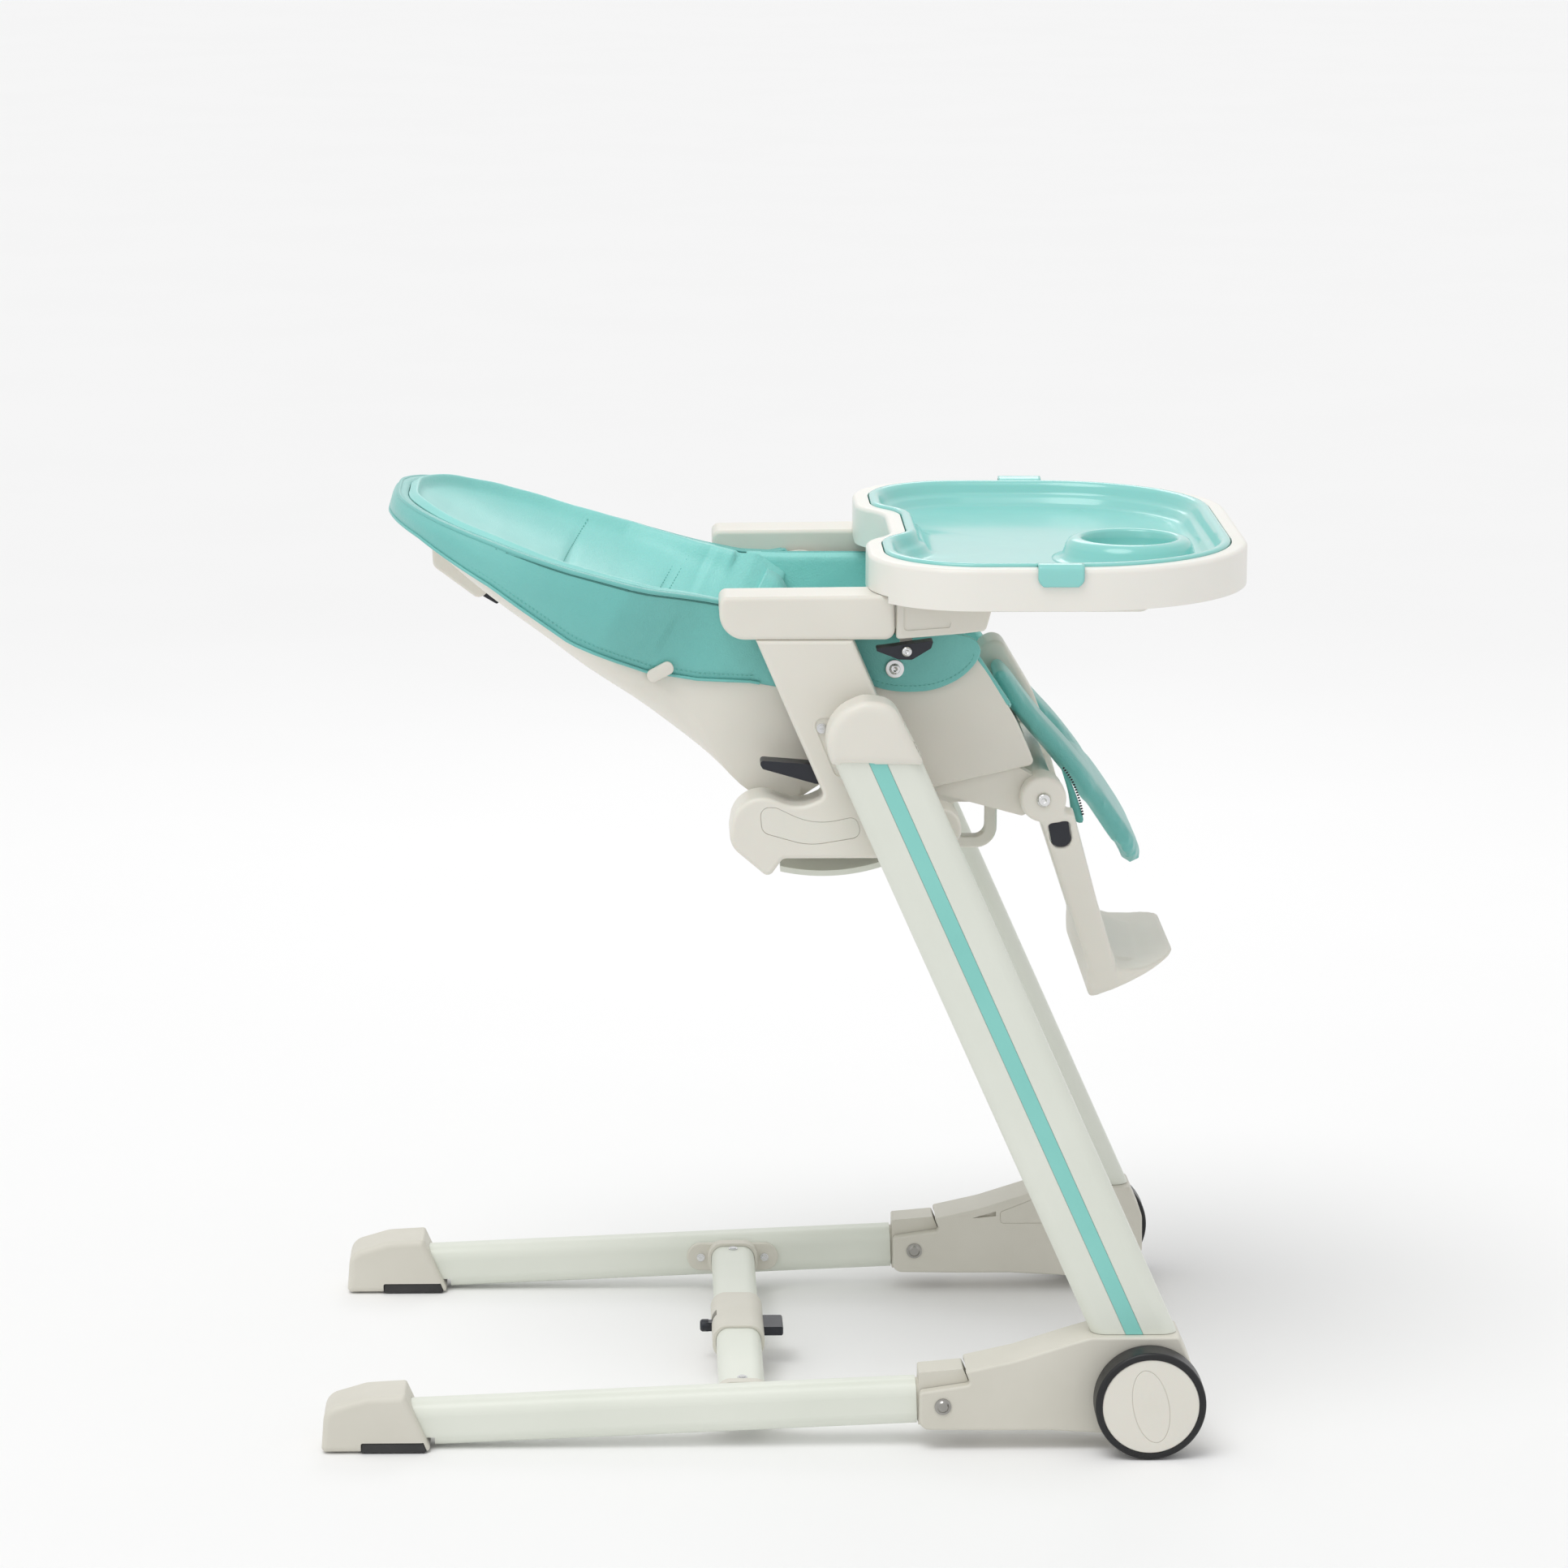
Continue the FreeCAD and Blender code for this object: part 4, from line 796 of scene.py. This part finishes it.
def makeZip():
    c = zipShape
    bm = bmesh.new()
    line = smoothPath([(x / 1000, c["y"] / 1000, z / 1000) for x, z in c["outline"] + c["outline"][:1]], 0.003)
    face = bm.faces.new([bm.verts.new(p) for p in line[:-1]])
    grown = bmesh.ops.extrude_face_region(bm, geom=[face])["geom"]
    bmesh.ops.translate(bm, verts=[g for g in grown if isinstance(g, bmesh.types.BMVert)], vec=(0, c["tape"], 0))
    bmesh.ops.recalc_face_normals(bm, faces=bm.faces)
    along(fromBmesh("zip_tape", bm, "stitch_thread"), "seat", "teal_leather")
    bm = bmesh.new()
    spots = smoothPath([(x / 1000, c["y"] / 1000, z / 1000) for x, z in c["teeth"]], c["pitch"])
    for p, q in zip(spots, spots[1:]):
        turn = (q - p).to_track_quat("X", "Z").to_matrix().to_4x4()
        bmesh.ops.create_uvsphere(bm, u_segments=8, v_segments=5, radius=1,
                                  matrix=Matrix.Translation(p) @ turn @ Matrix.Diagonal((*c["tooth"], 1)))
    along(fromBmesh("zip_teeth", bm, "dark_plastic"), "seat", "dark_plastic")


makeZip()


# food tray: rings of the plan from the rim down to the floor, and a turned cup
trayPlan = {"rear": 67.0, "waist": 92.0, "front": 413.0, "half": 253.7, "rearRound": 92.0, "frontRound": 165.0}


def roundedCorners(corners, steps):
    # each corner is (x, y, radius)
    out = []
    count = len(corners)
    for i, (x, y, r) in enumerate(corners):
        p = Vector((x, y))
        before = (Vector(corners[i - 1][:2]) - p).normalized()
        after = (Vector(corners[(i + 1) % count][:2]) - p).normalized()
        angle = before.angle(after)
        reach = r / math.tan(angle / 2)
        middle = p + (before + after).normalized() * (r / math.sin(angle / 2))
        a, b = p + before * reach - middle, p + after * reach - middle
        first, turn = math.atan2(a.y, a.x), math.atan2(b.y, b.x) - math.atan2(a.y, a.x)
        turn = (turn + math.pi) % math.tau - math.pi
        for k in range(steps + 1):
            spot = first + turn * k / steps
            out.append(middle + Vector((math.cos(spot), math.sin(spot))) * r)
    return out


def trayOutline(g, steps=14):
    t = trayPlan
    rear, waist, front, half = t["rear"] + g, t["waist"] + g, t["front"] - g, t["half"] - g
    rearRound, frontRound = t["rearRound"] - g * 0.6, t["frontRound"] - g
    corners = [(rear, -half, rearRound), (front, -half, frontRound), (front, half, frontRound),
               (rear, half, rearRound), (rear, 95, 55), (waist, 62, 55), (waist, -62, 55), (rear, -95, 55)]
    return roundedCorners(corners, steps)


insertSteps = [(18, 783.0), (16.2, 797.0), (15.0, 804.0), (15.6, 806.6), (17.5, 807.6), (21.0, 807.6),
               (23.5, 806.4), (25.5, 803.0), (27.5, 798.0), (29.0, 795.4), (31.5, 794.4), (33.5, 792.6),
               (36.0, 788.4), (39.5, 786.0), (45.0, 785.2), (70.0, 784.6), (110, 784.4), (150, 784.4)]
cupShape = {"x": 308.0, "y": -76.0, "floor": 770.5, "hole": 50.0, "holeSides": 24}


def makeFoodTray():
    bm = bmesh.new()
    outlines = []
    for g, z in insertSteps:
        outline = trayOutline(min(g, 60))
        if g > 60:
            centre = Vector((240, 0))
            outline = [centre + (p - centre) * (1 - (g - 60) / 110) for p in outline]
        outlines.append([Vector((p.x, p.y, z)) / 1000 for p in outline])
    first, last = ringedForm(bm, outlines)
    bmesh.ops.holes_fill(bm, edges=last, sides=0)
    bmesh.ops.remove_doubles(bm, verts=bm.verts, dist=1e-5)
    # round hole for the cup
    c = cupShape
    middle = Vector((c["x"] / 1000, c["y"] / 1000, 0.785))
    for k in range(c["holeSides"]):
        turn = math.tau * k / c["holeSides"]
        out = Vector((math.cos(turn), math.sin(turn), 0))
        bmesh.ops.bisect_plane(bm, geom=bm.verts[:] + bm.edges[:] + bm.faces[:],
                               plane_co=middle + out * c["hole"] / 1000, plane_no=out)
    inside = [f for f in bm.faces
              if (f.calc_center_median().xy - middle.xy).length < c["hole"] / 1000 * 0.999]
    bmesh.ops.delete(bm, geom=inside, context="FACES")
    if sum(f.normal.z for f in bm.faces if f.calc_center_median().z < 0.79) < 0:
        bmesh.ops.reverse_faces(bm, faces=bm.faces)
    bmesh.ops.recalc_face_normals(bm, faces=bm.faces)
    if sum(f.normal.z for f in bm.faces if f.calc_center_median().z < 0.79) < 0:
        bmesh.ops.reverse_faces(bm, faces=bm.faces)
    dish = fromBmesh("food_tray", bm, "aqua_plastic")
    wall = dish.modifiers.new("wall", "SOLIDIFY")
    wall.thickness, wall.offset = 0.0022, -1
    settled(dish)
    along(dish, "food_tray", "aqua_plastic", "tray_insert")
    profile = [(0, c["floor"] + 2), (30, c["floor"] + 2), (36, c["floor"] + 3), (39.5, c["floor"] + 7), (41, 780),
               (42.6, 796), (43.2, 802), (44.6, 804.2), (47.2, 804.6), (51, 804), (55, 802), (58, 797),
               (60, 791), (62.5, 787), (67, 785.3), (70, 784.9), (70, 783.2), (62, 783.6), (57, 788), (53, 799),
               (50, 801.6), (46, 801.4), (45, 796), (43, 780), (41, c["floor"] + 4), (36, c["floor"] + 0.5),
               (30, c["floor"]), (0, c["floor"])]
    cup = ringPiece("tray_cup", "aqua_plastic", [(r / 1000, h / 1000) for r, h in profile],
                    (c["x"] / 1000, c["y"] / 1000, 0), steps=64)
    along(cup, "food_tray", "aqua_plastic")
    # clips that hook over the tray's side edges
    for side, name in ((-1, "near"), (1, "far")):
        hook = [(236, 806.0), (240, 807.6), (246, 808.6), (252, 808.4), (255.6, 806.4), (256.6, 802.5), (256.6, 795),
                (256.0, 790.0)]
        route = smoothPath([(0, y / 1000, z / 1000) for y, z in hook], 0.0012)
        count = len(route) - 1

        def clipPoint(a, b, side=side, route=route, count=count):
            p = route[min(count, int(round(b * count)))]
            inset = 0.005 * max(0, (b - 0.8) / 0.2) ** 2
            x = 0.2115 + inset + (0.0405 - 2 * inset) * a
            return Vector((x, side * p.y, p.z))
        clip = gridPiece("tray_clip_" + name, "aqua_plastic", count, 16, clipPoint, thick=0.002, offset=0)
        settled(clip)
        along(clip, "food_tray", "aqua_plastic")
    print("food tray made")


makeFoodTray()


# moulded parts with soft edges
plateShape = {"rear": 272.0, "front": 356.0, "half": 118.0, "rearRound": 3.0, "frontRound": 60.0, "toeCut": 298.0}
plateUnder = [(272, 383), (284, 384.5), (310, 396), (330, 404.5), (345, 411), (356, 414)]
plateTop = [(272, 426), (287, 426), (293, 419), (300, 412.5), (312, 409.5), (330, 411), (346, 416), (356, 420)]


def makeFootrest():
    c = plateShape
    bm = bmesh.new()
    outlines = []
    for inset, share in ((30, 0), (8, 0), (3, 0.02), (0.6, 0.2), (0, 0.5), (0.6, 0.8), (3, 0.98), (8, 1), (30, 1)):
        corners = [(c["rear"] + inset, -c["half"] + inset, c["rearRound"]),
                   (c["front"] - inset, -c["half"] + inset, c["frontRound"] - inset),
                   (c["front"] - inset, c["half"] - inset, c["frontRound"] - inset),
                   (c["rear"] + inset, c["half"] - inset, c["rearRound"])]
        ring = []
        for p in roundedCorners(corners, 16):
            low, high = between(plateUnder, p.x), between(plateTop, p.x)
            ring.append(Vector((p.x, p.y, low + (high - low) * share)) / 1000)
        outlines.append(ring)
    first, last = ringedForm(bm, outlines)
    bmesh.ops.holes_fill(bm, edges=first + last, sides=0)
    bmesh.ops.recalc_face_normals(bm, faces=bm.faces)
    arms = bmesh.new()
    arms.from_mesh(nodes["footrest_arms"].data)
    bmesh.ops.remove_doubles(arms, verts=arms.verts, dist=1e-5)
    cut = bmesh.ops.bisect_plane(arms, geom=arms.verts[:] + arms.edges[:] + arms.faces[:],
                                 plane_co=(c["toeCut"] / 1000, 0, 0), plane_no=(1, 0, 0), clear_outer=True)
    bmesh.ops.holes_fill(arms, edges=[e for e in cut["geom_cut"] if isinstance(e, bmesh.types.BMEdge)], sides=0)
    armMesh = bpy.data.meshes.new("arms")
    arms.to_mesh(armMesh)
    arms.free()
    bm.from_mesh(armMesh)
    bpy.data.meshes.remove(armMesh)
    piece = fromBmesh("footrest_moulding", bm, "seat_plastic")
    melt = piece.modifiers.new("melt", "REMESH")
    melt.mode, melt.voxel_size = "VOXEL", 0.0018
    ease = piece.modifiers.new("ease", "SMOOTH")
    ease.factor, ease.iterations = 0.5, 8
    settled(piece)
    piece.data.materials.clear()
    piece.data.materials.append(materials["seat_plastic"])
    along(piece, "footrest", "seat_plastic", "footrest_arms", "footplate")


makeFootrest()
along(softened("leg_cap_mouldings", "seat_plastic", ["leg_caps"], 0.0018, 6), "legs", slotOf["leg_caps"], "leg_caps")
print("mouldings made")

# bright domed screws: body, x, z, y and radius in millimetres
screwSpots = {"footrest": ("seat", 226.7, 579.0, 163.6, 6.0), "latch": ("tray", 100.3, 722.0, 198.6, 4.6),
              "knob": ("seat", 92.0, 698.0, 155.8, 5.0)}


def makeScrews():
    for name, (body, x, z, y, r) in screwSpots.items():
        for side, end in ((-1, "near"), (1, "far")):
            profile = [(0, -0.4), (r, -0.4), (r, 0.5), (r * 0.94, 1.1), (r * 0.7, 1.8), (r * 0.42, 2.2),
                       (r * 0.36, 1.3), (0, 1.2)]
            dome = ringPiece("screw_%s_%s" % (name, end), "bright_metal",
                             [(a / 1000, b / 1000) for a, b in profile], (x / 1000, side * y / 1000, z / 1000),
                             axis="-Y" if side < 0 else "Y", steps=24)
            along(dome, body, "bright_metal")


makeScrews()


# webbing
def strapPiece(name, points, width, thick, across):
    # a flat strap along a route, its width along across
    route = smoothPath([Vector(p) / 1000 for p in points], 0.003)
    last = len(route) - 1
    across = Vector(across)

    def strapPoint(a, b):
        i = a * last
        k = min(int(i), last - 1)
        p = route[k].lerp(route[k + 1], i - k)
        return p + across * width * (b - 0.5)
    piece = gridPiece(name, "webbing", 8, last, strapPoint, thick=thick, offset=0)
    return settled(piece)


def makeStraps():
    for side, name in ((-1, "near"), (1, "far")):
        lap = strapPiece("lap_strap_" + name, [(108, side * 22, 668), (108, side * 60, 663), (106, side * 100, 662),
                                               (104, side * 128, 664)], 0.025, 0.0018, (1, 0, 0))
        if side < 0:
            along(lap, "seat", "webbing", "lap_straps")
        else:
            along(lap, "seat", "webbing")
    crotch = strapPiece("crotch_strap", [(126, 0, 668), (140, 0, 664), (155, 0, 662), (166, 0, 660)], 0.025, 0.0018,
                        (0, 1, 0))
    along(crotch, "seat", "webbing")
    print("straps made")


makeStraps()


# studio
studioSetup = {"backdrop": 0.93, "ambient": 0.66, "keyPower": 1.08, "keyFrom": (-0.25, -0.3, 0.92), "keySoft": 0.6,
               "stripPower": 8.0, "sidePower": 5.0}


def areaLight(name, place, target, size, power):
    data = bpy.data.lights.new(name, "AREA")
    data.energy, data.size = power, size
    lamp = bpy.data.objects.new(name, data)
    lamp.location = place
    lamp.rotation_euler = (Vector(target) - Vector(place)).to_track_quat("-Z", "Y").to_euler()
    bpy.context.scene.collection.objects.link(lamp)
    return lamp


def makeStudio():
    c = studioSetup
    bm = bmesh.new()
    bmesh.ops.create_grid(bm, x_segments=2, y_segments=2, size=60, matrix=Matrix.Translation((0, 0, -0.0008)))
    floor = fromBmesh("floor", bm, "floor")
    world = bpy.data.worlds.new("studio")
    bpy.context.scene.world = world
    world.use_nodes = True
    tree = world.node_tree
    shown = tree.nodes["Background"]
    shown.inputs["Color"].default_value = (1, 1, 1, 1)
    shown.inputs["Strength"].default_value = c["backdrop"]
    ambient = tree.nodes.new("ShaderNodeBackground")
    ambient.inputs["Strength"].default_value = c["ambient"]
    ambient.inputs["Color"].default_value = (1, 1, 1, 1)
    ray = tree.nodes.new("ShaderNodeLightPath")
    either = tree.nodes.new("ShaderNodeMixShader")
    seen = tree.nodes.new("ShaderNodeMath")
    seen.operation = "MAXIMUM"
    tree.links.new(ray.outputs["Is Camera Ray"], seen.inputs[0])
    tree.links.new(ray.outputs["Is Glossy Ray"], seen.inputs[1])
    tree.links.new(seen.outputs[0], either.inputs[0])
    tree.links.new(ambient.outputs[0], either.inputs[1])
    tree.links.new(shown.outputs[0], either.inputs[2])
    tree.links.new(either.outputs[0], tree.nodes["World Output"].inputs["Surface"])
    sun = bpy.data.lights.new("key", "SUN")
    sun.energy, sun.angle = c["keyPower"], c["keySoft"]
    key = bpy.data.objects.new("key", sun)
    key.rotation_euler = Vector(c["keyFrom"]).to_track_quat("Z", "Y").to_euler()
    bpy.context.scene.collection.objects.link(key)
    areaLight("strip", (0.1, 2.6, 2.3), (0.1, 0, 0.8), 1.2, c["stripPower"])
    areaLight("side", (-2.2, -2.4, 1.9), (0, 0, 0.6), 1.4, c["sidePower"])
    bpy.context.scene.view_settings.view_transform = "Standard"


makeStudio()
print("studio made")
